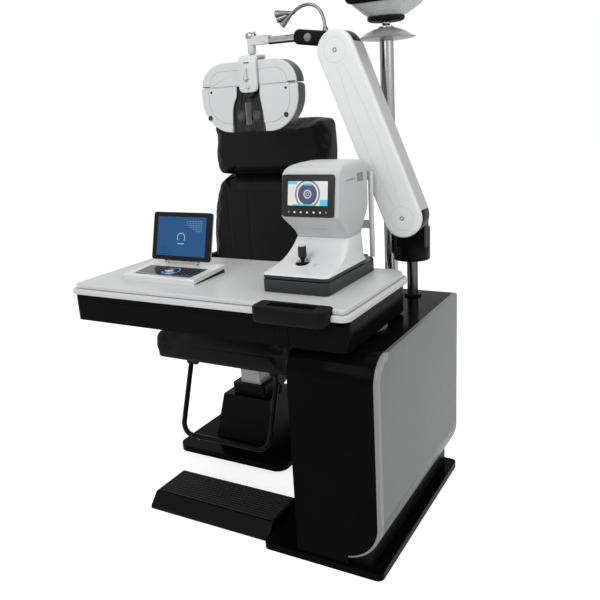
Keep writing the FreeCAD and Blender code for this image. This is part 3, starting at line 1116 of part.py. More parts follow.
foot_mid = FreeCAD.Vector(value("chart_x"), value("chart_y"), value("proj_low"))
projector = Part.makeCylinder(value("proj_foot"), value("proj_foot_height"), foot_mid)
body_x, body_y = value("proj_x"), value("proj_y")
width, depth, corner = value("proj_width"), value("proj_depth"), value("proj_round")
belly_z, shrink = value("proj_belly_z"), value("proj_shrink")
foot_top = foot_mid + FreeCAD.Vector(0, 0, value("proj_foot_height"))
belly = FreeCAD.Vector(body_x, body_y, belly_z)
hull = Part.makeLoft([round_rect_wire(foot_top, 2 * value("proj_foot"), 2 * value("proj_foot"), corner),
                      round_rect_wire(belly, width, depth, corner)], True, True)
sides = Part.makeLoft([round_rect_wire(belly, width, depth, corner),
                       round_rect_wire(FreeCAD.Vector(body_x, body_y, belly_z + value("proj_side")),
                                       width - shrink / 2, depth - shrink / 2, corner),
                       round_rect_wire(FreeCAD.Vector(body_x, body_y, value("proj_top")),
                                       width - 2 * shrink, depth - 2 * shrink, corner)], True, True)
projector = projector.fuse(hull).fuse(sides)
socket = Part.makeSphere(value("neck_ball + soft_gap"),
                         FreeCAD.Vector(value("chart_x"), value("chart_y"), value("neck_ball_z")))
keel_low = FreeCAD.Vector(value("chart_x - neck_keel_half - slide_gap"), value("chart_y"),
                          value("neck_ball_z"))
keel_groove = Part.makeCylinder(value("neck_ball + neck_keel + bore_gap"),
                                value("2 * (neck_keel_half + slide_gap)"), keel_low, X_WAY)
solid_node("projector_body", projector.cut(socket).cut(keel_groove))

# Check every object and every cut, then write one file for each sub-part

doc.recompute()
for thing in doc.Objects:
    if "Invalid" in thing.State or "Error" in thing.State:
        raise RuntimeError("%s failed: %s" % (thing.Name, thing.State))
for feature in CUTS:
    before = feature.BaseFeature
    if before is not None and feature.Shape.Volume > before.Shape.Volume - 1:
        raise RuntimeError("%s cuts nothing" % feature.Name)
for node in NODES:
    if node.Shape.isNull() or not node.Shape.isValid():
        raise RuntimeError("%s has no valid shape" % node.Label)

os.makedirs("parts", exist_ok=True)
for node in NODES:
    node.Shape.exportStep("parts/%s.step" % node.Label)
print(len(NODES), "sub-parts written")
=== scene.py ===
"""Looks of a combined ophthalmic chair and instrument stand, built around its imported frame."""

from __future__ import annotations

import json
import logging
import math
from dataclasses import dataclass, field
from enum import Enum
from typing import Callable, Iterable, Sequence, Union

import bmesh
import bpy
from mathutils import Matrix, Vector

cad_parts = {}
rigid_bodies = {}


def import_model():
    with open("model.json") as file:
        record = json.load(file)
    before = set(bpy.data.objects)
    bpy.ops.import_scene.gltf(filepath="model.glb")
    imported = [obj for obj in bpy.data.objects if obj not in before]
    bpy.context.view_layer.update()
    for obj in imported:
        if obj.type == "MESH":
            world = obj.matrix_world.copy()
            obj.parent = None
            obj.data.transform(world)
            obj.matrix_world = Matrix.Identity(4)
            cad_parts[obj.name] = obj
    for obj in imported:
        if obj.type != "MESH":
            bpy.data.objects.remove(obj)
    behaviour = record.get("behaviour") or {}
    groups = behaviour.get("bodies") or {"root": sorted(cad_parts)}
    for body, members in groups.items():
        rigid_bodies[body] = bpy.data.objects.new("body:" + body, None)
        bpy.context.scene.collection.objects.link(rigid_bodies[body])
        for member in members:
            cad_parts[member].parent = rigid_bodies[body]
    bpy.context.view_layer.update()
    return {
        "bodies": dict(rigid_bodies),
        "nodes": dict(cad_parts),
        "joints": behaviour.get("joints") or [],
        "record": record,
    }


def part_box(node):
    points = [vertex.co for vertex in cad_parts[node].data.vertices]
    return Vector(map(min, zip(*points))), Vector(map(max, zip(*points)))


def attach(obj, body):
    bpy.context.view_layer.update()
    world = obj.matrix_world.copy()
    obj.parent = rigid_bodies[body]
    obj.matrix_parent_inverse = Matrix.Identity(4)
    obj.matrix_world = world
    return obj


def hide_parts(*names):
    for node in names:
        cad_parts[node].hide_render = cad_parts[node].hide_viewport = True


LOG = logging.getLogger("refraction_unit")
Colour = tuple[float, float, float]
Point = tuple[float, float, float]
Flat = tuple[float, float]
MM = 0.001
PANEL_ROUND = 78.0
ARM_PIVOT = (88.8, 958.0)
ARM_LENGTH = 558.0
ARM_LEAN = 22.1
ARM_LINE = 185.0
HANGER_X = -455.0
EYE_MIDDLE = -462.0
REFRACTOR_MIDDLE = -92.5
SCREEN_LEAN = 9.0
TABLET_LEAN = 15.0
CHAIR_MIDDLE = -614.5
PAD_SEAM = 556.0


class Signal:
    """One shader socket that can stand in sums as a number does."""

    def __init__(self, shader: "Shader", socket: bpy.types.NodeSocket) -> None:
        """Keep the socket and the shader that it belongs to.

        Args:
            shader: The shader whose nodes hold the socket.
            socket: The output socket.
        """
        self.shader = shader
        self.socket = socket

    def _math(self, operation: str, first: "Operand", second: "Operand" = 0.0) -> "Signal":
        """Add a Math node.

        Args:
            operation: Blender's name of the operation.
            first: The first operand.
            second: The second operand.

        Returns:
            The node's result.
        """
        node = self.shader.node("ShaderNodeMath", {"operation": operation}, {0: first, 1: second})
        return Signal(self.shader, node.outputs[0])

    def __add__(self, other: "Operand") -> "Signal":
        """The sum."""
        return self._math("ADD", self, other)

    __radd__ = __add__

    def __sub__(self, other: "Operand") -> "Signal":
        """The difference."""
        return self._math("SUBTRACT", self, other)

    def __rsub__(self, other: "Operand") -> "Signal":
        """The reflected difference."""
        return self._math("SUBTRACT", other, self)

    def __mul__(self, other: "Operand") -> "Signal":
        """The product."""
        return self._math("MULTIPLY", self, other)

    __rmul__ = __mul__

    def __truediv__(self, other: "Operand") -> "Signal":
        """The quotient."""
        return self._math("DIVIDE", self, other)

    def __abs__(self) -> "Signal":
        """The size without its sign."""
        return self._math("ABSOLUTE", self)

    def below(self, edge: "Operand") -> "Signal":
        """One where the signal is under the edge, else nought."""
        return self._math("LESS_THAN", self, edge)

    def above(self, edge: "Operand") -> "Signal":
        """One where the signal is over the edge, else nought."""
        return self._math("GREATER_THAN", self, edge)

    def larger(self, other: "Operand") -> "Signal":
        """The larger of two signals."""
        return self._math("MAXIMUM", self, other)

    def band(self, middle: float, half: float) -> "Signal":
        """One within half of the middle, else nought."""
        return abs(self - middle).below(half)

    def fraction(self) -> "Signal":
        """The part behind the point."""
        return self._math("FRACT", self)

    def sine(self) -> "Signal":
        """The sine of the signal in radians."""
        return self._math("SINE", self)

    def root(self) -> "Signal":
        """The square root."""
        return self._math("SQRT", self)


Operand = Union[Signal, float]


class Shader:
    """One material with a Principled surface, and the nodes that feed it."""

    def __init__(self, name: str, constants: dict[str, object]) -> None:
        """Start a material.

        Args:
            name: The material's name.
            constants: Values set on the surface's own sockets.
        """
        self.material = bpy.data.materials.new(name)
        self.material.use_nodes = True
        self.nodes = self.material.node_tree.nodes
        self.links = self.material.node_tree.links
        self.surface = self.nodes["Principled BSDF"]
        for socket, value in constants.items():
            self.surface.inputs[socket].default_value = value

    def node(self, kind: str, settings: dict[str, object], inputs: dict[object, object]) -> bpy.types.Node:
        """Add a node of any type.

        Args:
            kind: Blender's type name.
            settings: Properties set first.
            inputs: Values or signals for the input sockets, by name or number.

        Returns:
            The node.
        """
        node = self.nodes.new(kind)
        for name, value in settings.items():
            setattr(node, name, value)
        for name, value in inputs.items():
            if isinstance(value, Signal):
                self.links.new(value.socket, node.inputs[name])
            else:
                node.inputs[name].default_value = value
        return node

    def out(self, node: bpy.types.Node, name: object = 0) -> Signal:
        """A node's output as a signal."""
        return Signal(self, node.outputs[name])

    def where(self) -> Signal:
        """The point on the piece, in metres in the row's frame."""
        return self.out(self.node("ShaderNodeTexCoord", {}, {}), "Object")

    def axes(self) -> tuple[Signal, Signal, Signal]:
        """The point's three parts as signals."""
        parts = self.node("ShaderNodeSeparateXYZ", {}, {0: self.where()})
        return self.out(parts, 0), self.out(parts, 1), self.out(parts, 2)

    def stretched(self, scale: Point) -> Signal:
        """The point with each axis scaled.

        Args:
            scale: One factor for each axis.

        Returns:
            The scaled point.
        """
        node = self.node("ShaderNodeVectorMath", {"operation": "MULTIPLY"}, {0: self.where(), 1: scale})
        return self.out(node)

    def noise(self, scale: float, detail: float = 2.0, rough: float = 0.5, point: Signal | None = None) -> Signal:
        """Soft noise about one half.

        Args:
            scale: Waves to the metre.
            detail: Octaves.
            rough: How strong the finer octaves are.
            point: Where it is read, or the plain point.

        Returns:
            The noise.
        """
        inputs = {"Vector": point or self.where(), "Scale": scale, "Detail": detail, "Roughness": rough}
        return self.out(self.node("ShaderNodeTexNoise", {}, inputs))

    def cells(self, scale: float) -> Signal:
        """Distance in a field of cells, as many to the metre as the scale says."""
        return self.out(self.node("ShaderNodeTexVoronoi", {}, {"Vector": self.where(), "Scale": scale}), "Distance")

    def mix(self, factor: Operand, low: object, high: object) -> Signal:
        """A colour between two.

        Args:
            factor: Nought gives low, one gives high.
            low: A colour or a signal.
            high: A colour or a signal.

        Returns:
            The colour.
        """
        ends = [value if isinstance(value, Signal) else (*value, 1.0) for value in (low, high)]
        node = self.node("ShaderNodeMix", {"data_type": "RGBA"}, {0: factor, 6: ends[0], 7: ends[1]})
        return self.out(node, 2)

    def feed(self, name: str, value: Signal) -> None:
        """Link a signal to one of the surface's sockets."""
        self.links.new(value.socket, self.surface.inputs[name])

    def bump(self, height: Signal, distance: float, strength: float = 1.0) -> None:
        """Turn a height into the surface's normal.

        Args:
            height: The height, in units of the distance.
            distance: Metres for a height of one.
            strength: How much of it shows.
        """
        node = self.node("ShaderNodeBump", {}, {"Height": height, "Distance": distance, "Strength": strength})
        self.feed("Normal", self.out(node))


Black = dict[str, float]
SATIN: Black = {"roughness": 0.34, "shine": 0.05}
GLOSS: Black = {"roughness": 0.14, "shine": 0.015}


def grey(level: float, warmth: float = 0.0) -> Colour:
    """A grey, a little warmer or cooler.

    Args:
        level: The middle level.
        warmth: Added to red and taken from blue.

    Returns:
        The colour.
    """
    return (level * (1 + warmth), level, level * (1 - warmth))


@dataclass(frozen=True)
class Mark:
    """A printed or moulded mark: where it lies, its colour, and its depth in millimetres."""

    where: Signal
    colour: Colour
    depth: float = 0.0


@dataclass(frozen=True)
class Moulded:
    """A moulded or painted finish: fine skin, slight colour drift and its marks."""

    name: str
    colour: Colour
    roughness: float = 0.3
    coat: float = 0.0
    grain: float = 900.0
    depth: float = 0.00002
    drift: float = 0.04
    metallic: float = 0.0
    shine: float = 0.5
    marks: Callable[[Shader], Sequence["Mark"]] | None = None
    glow: float = 0.0

    def build(self) -> bpy.types.Material:
        """Make the material."""
        shader = Shader(self.name, {"Coat Roughness": 0.06, "Coat Weight": self.coat, "Metallic": self.metallic,
                                    "Specular IOR Level": self.shine, "Emission Strength": self.glow})
        cloud = shader.noise(6.0, 3.0, 0.6)
        dark = tuple(value * (1 - self.drift) for value in self.colour)
        pale = tuple(min(1.0, value * (1 + self.drift) + 0.002) for value in self.colour)
        colour = shader.mix(cloud, dark, pale)
        height: Operand = shader.noise(self.grain, 2.0) * (self.depth / MM)
        for mark in self.marks(shader) if self.marks else ():
            colour = shader.mix(mark.where, colour, mark.colour)
            if mark.depth:
                height = height - mark.where * mark.depth
        shader.feed("Emission Color" if self.glow else "Base Color", colour)
        if self.glow:
            shader.surface.inputs["Base Color"].default_value = (0.01, 0.01, 0.01, 1.0)
        smear = shader.noise(35.0, 4.0, 0.65)
        shader.feed("Roughness", (smear - 0.5) * (0.25 * self.roughness) + self.roughness)
        shader.bump(height, MM)
        return shader.material


@dataclass(frozen=True)
class Metal:
    """A bare metal with fine draw lines along one axis."""

    name: str
    colour: Colour
    roughness: float = 0.25
    lines: Point = (900.0, 900.0, 20.0)
    depth: float = 0.00001
    edge: float = 1.0

    def build(self) -> bpy.types.Material:
        """Make the material."""
        shader = Shader(self.name, {"Metallic": 1.0, "Specular Tint": (*grey(self.edge), 1.0)})
        draw = shader.noise(1.0, 3.0, 0.6, shader.stretched(self.lines))
        dark = tuple(value * 0.86 for value in self.colour)
        shader.feed("Base Color", shader.mix(draw, dark, self.colour))
        cloud = shader.noise(22.0, 3.0)
        shader.feed("Roughness", (draw - 0.5) * 0.12 + (cloud - 0.5) * 0.1 + self.roughness)
        shader.bump(draw, self.depth)
        return shader.material


@dataclass(frozen=True)
class Leatherette:
    """Embossed black leatherette: pebbled grain with fine creases and a soft sheen."""

    name: str
    colour: Colour
    pebble: float = 620.0
    crease: float = 150.0

    def build(self) -> bpy.types.Material:
        """Make the material."""
        shader = Shader(self.name, {"Specular IOR Level": 0.11, "Sheen Weight": 0.015, "Sheen Roughness": 0.5})
        pebble = shader.cells(self.pebble)
        crease = shader.noise(self.crease, 4.0, 0.62)
        cloud = shader.noise(9.0, 3.0)
        pale = tuple(value * 1.6 + 0.0024 for value in self.colour)
        shader.feed("Base Color", shader.mix(cloud * 0.5 + pebble * 0.5, self.colour, pale))
        shader.feed("Roughness", (cloud - 0.5) * 0.16 + (0.5 - pebble) * 0.1 + 0.5)
        shader.bump((1 - pebble) * 0.6 + crease * 0.9, 0.0003, 0.8)
        return shader.material


@dataclass(frozen=True)
class Rubber:
    """Moulded rubber with a chalky bloom."""

    name: str
    colour: Colour

    def build(self) -> bpy.types.Material:
        """Make the material."""
        shader = Shader(self.name, {"Specular IOR Level": 0.16})
        bloom = shader.noise(45.0, 5.0, 0.7)
        pale = tuple(value * 2.1 + 0.006 for value in self.colour)
        shader.feed("Base Color", shader.mix(bloom, self.colour, pale))
        shader.feed("Roughness", bloom * 0.2 + 0.6)
        shader.bump(shader.noise(1400.0, 2.0), 0.00006)
        return shader.material


def arm_marks(shader: Shader) -> list[Mark]:
    """Fine circles round both pivots of the arm's cover and a long lens between them."""
    across, _, up = (axis / MM for axis in shader.axes())
    lean, middle = math.radians(ARM_LEAN), ARM_LENGTH / 2
    side = (across - ARM_PIVOT[0]) * math.cos(lean) + (up - ARM_PIVOT[1]) * math.sin(lean)
    along = (up - ARM_PIVOT[1]) * math.cos(lean) - (across - ARM_PIVOT[0]) * math.sin(lean)
    low = (side * side + along * along).root()
    high = (side * side + (along - ARM_LENGTH) * (along - ARM_LENGTH)).root()
    share = (along - middle) / middle
    lens = abs(abs(side) - (1 - share * share) * 20.0 - 4.0).below(0.7) * along.band(middle, 233.0)
    line = low.band(38.0, 0.7).larger(high.band(38.0, 0.7)).larger(lens)
    return [Mark(line, grey(0.6), 0.3)]


def refractor_marks(shader: Shader) -> list[Mark]:
    """The slit under the bezel, and the grille and slot high on the right side."""
    across, deep, up = (axis / MM for axis in shader.axes())
    slit = across.band(-83.0, 26.0) * up.band(961.0, 0.9) * deep.below(-60.0)
    right = across.above(0.5)
    weave = ((deep / 3.2).fraction().above(0.4)) * ((up / 3.2).fraction().above(0.4))
    grille = right * deep.band(14.0, 22.0) * up.band(1102.0, 13.0)
    slot = right * deep.band(-52.0, 32.0) * up.band(1101.0, 3.2) * ((deep / 4.0).fraction().above(0.35))
    seam = across.band(REFRACTOR_MIDDLE, 88.0) * up.band(942.0, 0.7) * deep.above(38.0)
    return [Mark(slit, grey(0.2), 0.6), Mark(grille, grey(0.3), 0.0), Mark(grille * weave, grey(0.09), 0.8),
            Mark(slot, grey(0.22), 0.8), Mark(seam, grey(0.2), 0.5)]


def stage_marks(shader: Shader) -> list[Mark]:
    """Two small printed keys beside the joystick and a fine printed ring."""
    across, deep, up = (axis / MM for axis in shader.axes())
    flat = up.below(880.0)
    keys = ((across + 66.0).band(0.0, 5.0) * ((deep + 176.0).band(0.0, 2.5) + (deep + 166.0).band(0.0, 2.5)))
    ring = ((across + 84.0) * (across + 84.0) + (deep + 130.0) * (deep + 130.0)).root().band(5.0, 0.7)
    return [Mark(keys * flat, grey(0.34)), Mark(ring * flat, grey(0.38), 0.3)]


def eye_screen_marks(shader: Shader) -> list[Mark]:
    """A ring target with its dotted disc, and plain status bars."""
    across, _, up = (axis / MM for axis in shader.axes())
    side = across - REFRACTOR_MIDDLE
    rise = (up - 1070.5) / math.cos(math.radians(SCREEN_LEAN))
    out = (side * side + rise * rise).root()
    cyan, dark, blue = (0.1, 0.6, 0.88), grey(0.08), (0.02, 0.13, 0.42)
    dots = (side * 1.25).sine() * (rise * 1.25).sine()
    bars = (side.below(-34.0) * rise.above(28.0)).larger(side.band(0.0, 13.0) * rise.band(28.0, 3.0))
    bars = bars.larger(side.above(40.0) * rise.below(-16.0)).larger(side.band(-14.0, 34.0) * rise.below(-29.0))
    return [Mark(out.band(38.5, 2.4), grey(0.2)), Mark(out.below(31.0), dark),
            Mark(out.below(27.0) * dots.above(0.3), blue), Mark(out.band(11.0, 2.0), grey(0.6)),
            Mark(out.below(5.5), grey(0.45)), Mark(out.below(2.2), grey(0.05)), Mark(bars, cyan)]


def bezel_marks(shader: Shader) -> list[Mark]:
    """Six touch dots under the screen."""
    across, deep, up = (axis / MM for axis in shader.axes())
    step = ((across - REFRACTOR_MIDDLE) / 21.0 + 0.5).fraction() - 0.5
    rise = (up - 1019.0) / math.cos(math.radians(SCREEN_LEAN))
    dot = ((step * 21.0) * (step * 21.0) + rise * rise).root().below(3.0) * across.band(REFRACTOR_MIDDLE, 62.0)
    return [Mark(dot * deep.below(-140.0), grey(0.72))]


def tablet_screen_marks(shader: Shader) -> list[Mark]:
    """Plain blue glow with scattered light dots above and dark dots below."""
    across, _, up = (axis / MM for axis in shader.axes())
    side = across + 593.5
    rise = (up - 917.0) / math.cos(math.radians(TABLET_LEAN))
    grid = (((side / 6.5).fraction() - 0.5) * ((side / 6.5).fraction() - 0.5)
            + ((rise / 6.5).fraction() - 0.5) * ((rise / 6.5).fraction() - 0.5)).root().below(0.22)
    light = side.band(52.0, 30.0) * rise.band(38.0, 20.0) * (side * 0.6 + rise).above(56.0)
    dark = side.band(-58.0, 24.0) * rise.band(-44.0, 16.0) * (side * 0.5 + rise).below(-62.0)
    dial = (side * side + rise * rise).root()
    tick = dial.band(15.0, 1.4) * rise.above(-9.0)
    bar = side.band(0.0, 13.0) * rise.band(-20.0, 1.5)
    return [Mark(grid * light, (0.3, 0.48, 0.66)), Mark(grid * dark, (0.01, 0.02, 0.05)),
            Mark(tick.larger(bar), (0.42, 0.55, 0.68))]


def keypad_marks(shader: Shader) -> list[Mark]:
    """A light line along the bowed front edge, a broken ring round the dial and faint keys."""
    across, deep, _ = (axis / MM for axis in shader.axes())
    side, fore = across + 583.0, deep + 203.0
    out = (side * side + fore * fore).root()
    blue = (0.16, 0.45, 0.78)
    bow = deep + 246.0 - side * side * 0.0011
    edge = bow.band(-1.0, 1.5)
    pads = (((side / 19.0).fraction() - 0.5)) * (((side / 19.0).fraction() - 0.5)) \
        + (((fore / 17.0).fraction() - 0.5)) * (((fore / 17.0).fraction() - 0.5))
    keys = pads.root().below(0.26) * out.above(44.0) * bow.above(7.0)
    ring = out.band(32.0, 2.2) * (side + fore * 0.4).above(-12.0)
    fan = out.band(26.0, 4.5) * fore.below(-8.0)
    mottle = shader.noise(150.0, 4.0, 0.7).above(0.54) * bow.above(5.0)
    return [Mark(mottle, grey(0.045)), Mark(keys, grey(0.075), 0.15), Mark(edge, blue), Mark(ring, blue),
            Mark(fan, (0.1, 0.3, 0.6))]


def projector_marks(shader: Shader) -> list[Mark]:
    """Seam round the belly, small side slots and two vents."""
    across, deep, up = (axis / MM for axis in shader.axes())
    seam = up.band(1634.0, 0.9)
    right = across.above(30.0)
    slant = deep + (up - 1610.0) * 0.5
    slots = right * (slant.band(452.0, 2.4) + slant.band(464.0, 2.4)) * up.band(1611.0, 7.0)
    small = right * slant.band(300.0, 2.0) * up.band(1614.0, 5.0)
    return [Mark(seam, grey(0.3), 0.6), Mark(slots.larger(small), grey(0.03), 1.0)]


def panel_edge_highlight_marks(shader: Shader) -> list[Mark]:
    """The pale strip along the panel's front edge and its round top corner: a painted highlight standing in for the
    rounded edge catching light.
    """
    _, deep, up = (axis / MM for axis in shader.axes())
    fore, drop = PANEL_ROUND - (deep + 356.0), PANEL_ROUND - (668.0 - up)
    corner = (fore.larger(0.0) * fore.larger(0.0) + drop.larger(0.0) * drop.larger(0.0)).root()
    # Painted highlight: a paler band along the front edge and round the top corner, where the rounded edge catches
    # light.
    edge_highlight = corner.above(PANEL_ROUND - 19.0) * fore.above(0.0)
    return [Mark(edge_highlight, grey(0.215))]


def apron_marks(shader: Shader) -> list[Mark]:
    """The fine upright seam beside the drawer."""
    across, deep, _ = (axis / MM for axis in shader.axes())
    return [Mark(across.band(-60.0, 0.9) * deep.below(-300.0), grey(0.001), 1.0)]


class Finish(Enum):
    """Every plain finish of the unit, by the part of it that wears it."""

    FLOOR_STEEL = Moulded("floor_steel_black_gloss", grey(0.0016), **GLOSS)
    STEP = Moulded("step_dark_moulding", grey(0.0016), 0.42, depth=0.00006, shine=0.06)
    TREAD = Rubber("step_tread_rubber", grey(0.009))
    CASING = Moulded("lift_casing_black", grey(0.0016), 0.4, depth=0.00004, shine=0.05)
    COLUMN = Moulded("lift_column_enamel", grey(0.5), 0.3)
    ACTUATOR = Metal("lift_actuator_steel", grey(0.5), 0.35)
    CABINET = Moulded("cabinet_black_gloss", grey(0.0016), depth=0.000008, **GLOSS)
    PANEL = Moulded("side_panel_silver", (0.1, 0.105, 0.105), 0.36, 0.0, grain=1500.0, drift=0.05, shine=0.3,
                    marks=panel_edge_highlight_marks)
    FRAME = Moulded("frame_black_satin", grey(0.004), **SATIN)
    SEAT_FRAME = Moulded("seat_frame_dark_casting", grey(0.004), 0.5, depth=0.00012, grain=420.0, shine=0.1)
    BACK_FRAME = Moulded("back_shell_black", grey(0.003), 0.42, depth=0.00008, grain=800.0, shine=0.1)
    PIVOT = Moulded("pivot_grey_enamel", grey(0.18), 0.4)
    ARM_POLE = Metal("arm_pole_dark_grey", grey(0.1), 0.3, (700.0, 700.0, 12.0), edge=0.0)
    CHART_POLE = Metal("chart_pole_chrome", grey(0.36), 0.2, (500.0, 500.0, 6.0), edge=0.2)
    FLANGE = Moulded("pole_flange_black", grey(0.012), **SATIN)
    TRAY = Moulded("chart_tray_silver", grey(0.25), 0.3, drift=0.05, shine=0.4)
    LEATHER = Leatherette("upholstery_black_leatherette", grey(0.0022))
    ARMREST = Moulded("armrest_black_skin", grey(0.0032), 0.5, depth=0.0001, grain=500.0, shine=0.09)
    TABLE = Moulded("table_white_gloss", (0.53, 0.533, 0.536), 0.36, depth=0.000006, drift=0.02, shine=0.28)
    APRON = Moulded("apron_black_gloss", grey(0.0032), depth=0.000008, marks=apron_marks, **GLOSS)
    DRAWER = Moulded("drawer_black_gloss", grey(0.0036), depth=0.000008, **GLOSS)
    HANDLE = Moulded("grab_tray_black_satin", grey(0.0045), depth=0.00004, **SATIN)
    DEVICE_DARK = Moulded("refractor_base_dark", (0.022, 0.023, 0.024), 0.45, depth=0.00008, grain=700.0, shine=0.25)
    DEVICE_LIGHT = Moulded("refractor_shell_grey", (0.5, 0.505, 0.51), 0.34, 0.05, marks=refractor_marks)
    # The stage cover wears a lighter copy of the head shell's grey: painted light for the brighter light on its upward
    # face.
    STAGE_PAINTED_LIGHTER = Moulded("refractor_stage_grey_painted_lighter", (0.66, 0.665, 0.67), 0.34, 0.05, marks=stage_marks)
    SLIDE = Metal("slide_steel", grey(0.45), 0.3)
    STICK = Moulded("joystick_black", grey(0.008), 0.4, shine=0.25)
    BUTTON = Moulded("joystick_cap_light", grey(0.6), 0.28)
    BEZEL = Moulded("bezel_black_glass", grey(0.013), 0.2, marks=bezel_marks, shine=0.2)
    EYE_SCREEN = Moulded("refractor_screen_picture", grey(0.78), 0.12, marks=eye_screen_marks, glow=0.95, shine=0.2)
    REST = Moulded("head_rest_white", grey(0.6), 0.25)
    PANEL_WHITE = Moulded("control_panel_white", (0.62, 0.624, 0.628), 0.3, 0.1)
    KEYPAD = Moulded("keypad_black_glass", grey(0.011), 0.2, marks=keypad_marks, shine=0.2)
    DIAL = Metal("dial_silver", grey(0.42), 0.3, (1200.0, 1200.0, 50.0))
    KNOB = Moulded("knob_grey", grey(0.16), 0.3, shine=0.5)
    TABLET = Moulded("tablet_bezel_dark", grey(0.012), 0.3, shine=0.06)
    TABLET_SCREEN = Moulded("tablet_screen_blue", (0.0175, 0.091, 0.235), 0.12, marks=tablet_screen_marks,
                            drift=0.03, glow=0.95, shine=0.03)
    TABLET_RIM = Moulded("tablet_rim_silver", grey(0.5), 0.3, metallic=0.5)
    SLOT = Moulded("slot_dark", grey(0.012), 0.5, shine=0.15)
    ARM_BLACK = Moulded("arm_hub_black", grey(0.0035), **SATIN)
    ARM_WHITE = Moulded("arm_cover_white", (0.7, 0.71, 0.705), 0.24, 0.15, depth=0.00001, drift=0.02, marks=arm_marks)
    ARM_SIDE = Moulded("arm_side_grey", grey(0.42), 0.34)
    ARM_STEEL = Moulded("arm_steel_primer", grey(0.3), 0.45)
    CHROME = Metal("polished_chrome", grey(0.18), 0.12, (300.0, 300.0, 300.0), edge=0.0)
    BAR = Metal("bar_steel", grey(0.36), 0.12, (10.0, 900.0, 900.0), edge=0.0)
    LEVER = Moulded("lever_satin_nickel", grey(0.42), 0.28, metallic=0.45)
    FIELD_LINE = Moulded("field_shadow_line", grey(0.34), 0.5, shine=0.2)
    ELBOW = Moulded("elbow_pale_enamel", grey(0.6), 0.24, 0.1)
    PHOROPTER = Moulded("phoropter_white_grey", (0.6, 0.605, 0.61), 0.3, 0.1, depth=0.000012, drift=0.02)
    RIM = Moulded("phoropter_dark_rim", (0.036, 0.037, 0.04), 0.4, shine=0.25, grain=500.0, depth=0.00006)
    LENS = Moulded("lens_board_black", grey(0.013), 0.34, shine=0.2)
    LENS_RING = Moulded("lens_ring_black", grey(0.026), 0.25, shine=0.3)
    NOSE = Moulded("nose_pad_grey", grey(0.3), 0.5, shine=0.3)
    LENS_GLASS = Moulded("lens_dark_glass", grey(0.03), 0.1, 0.4, shine=0.4)
    PROJECTOR = Moulded("projector_white", (0.43, 0.434, 0.438), 0.3, 0.1, marks=projector_marks)
    VISOR = Moulded("projector_visor_black", grey(0.005), **GLOSS)
    # Near-black finish: the colour of the joystick boot and the projector foot, and painted shade in the table groove
    # and between the tread ribs.
    BLACK_AND_SHADE = Moulded("black_part_and_painted_shade", grey(0.004), 0.6, shine=0.1)


@dataclass(frozen=True)
class Home:
    """The CAD body that a piece moves with, and the name of the record's slot; the slot is not used."""

    body: str
    slot: str


class Workshop:
    """Makes meshes in the row's frame, dresses them and hangs them on their bodies."""

    def __init__(self) -> None:
        """Start with no materials made."""
        self.made: dict[str, bpy.types.Material] = {}

    def material(self, finish: object) -> bpy.types.Material:
        """The material of a finish, made once.

        Args:
            finish: A Finish, or anything with a name and a build method.

        Returns:
            The material.
        """
        recipe = finish.value if isinstance(finish, Finish) else finish
        if recipe.name not in self.made:
            self.made[recipe.name] = recipe.build()
        return self.made[recipe.name]

    def dress_node(self, node: str, finish: object, bevel: float = 0.0) -> bpy.types.Object:
        """Give a carried-over CAD node its material and soft edges.

        Args:
            node: The CAD node's name.
            finish: Its finish.
            bevel: The width of its rounded edges in metres.

        Returns:
            The node's object.
        """
        thing = FRAME["nodes"][node]
        thing.data.materials.clear()
        thing.data.materials.append(self.material(finish))
        if bevel:
            weld = thing.modifiers.new("weld", "WELD")
            weld.merge_threshold = 0.00001
            round_edges(thing, bevel)
        return thing

    def add(self, name: str, mesh: bpy.types.Mesh, finish: object, home: "Home",
            replaces: Sequence[str] = (), scale: float = MM) -> bpy.types.Object:
        """Put a mesh in the scene as one piece.

        Args:
            name: The piece's name.
            mesh: Its mesh, in the row's frame.
            finish: Its finish.
            home: The body that it moves with and the record's slot.
            replaces: CAD nodes that it stands for.
            scale: Metres to the mesh's unit.

        Returns:
            The piece.
        """
        mesh.name = name
        if scale != 1.0:
            mesh.transform(Matrix.Scale(scale, 4))
        mesh.materials.clear()
        mesh.materials.append(self.material(finish))
        piece = bpy.data.objects.new(name, mesh)
        bpy.context.scene.collection.objects.link(piece)
        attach(piece, home.body)
        if replaces:
            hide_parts(*replaces)
        return piece


def round_edges(thing: bpy.types.Object, width: float, segments: int = 2, angle: float = 35.0) -> None:
    """Round an object's sharp edges with a modifier.

    Args:
        thing: The object.
        width: The rounded edge's width in metres.
        segments: Steps in each rounded edge.
        angle: Edges sharper than this many degrees are rounded.
    """
    bevel = thing.modifiers.new("soft_edges", "BEVEL")
    bevel.width = width
    bevel.segments = segments
    bevel.limit_method = "ANGLE"
    bevel.angle_limit = math.radians(angle)
    bevel.harden_normals = True
    bevel.use_clamp_overlap = True


def mesh_of(points: Iterable[Point], faces: Iterable[Sequence[int]], sharp: float = 40.0) -> bpy.types.Mesh:
    """A mesh with smooth faces and edges kept sharp over an angle.

    Args:
        points: The corners.
        faces: Each face's corner numbers.
        sharp: Edges over this many degrees stay sharp.

    Returns:
        The mesh.
    """
    mesh = bpy.data.meshes.new("piece")
    mesh.from_pydata([tuple(point) for point in points], [], [tuple(face) for face in faces])
    mesh.validate()
    work = bmesh.new()
    work.from_mesh(mesh)
    bmesh.ops.remove_doubles(work, verts=work.verts, dist=1e-7)
    bmesh.ops.recalc_face_normals(work, faces=work.faces)
    finish_mesh(work, mesh, sharp)
    return mesh


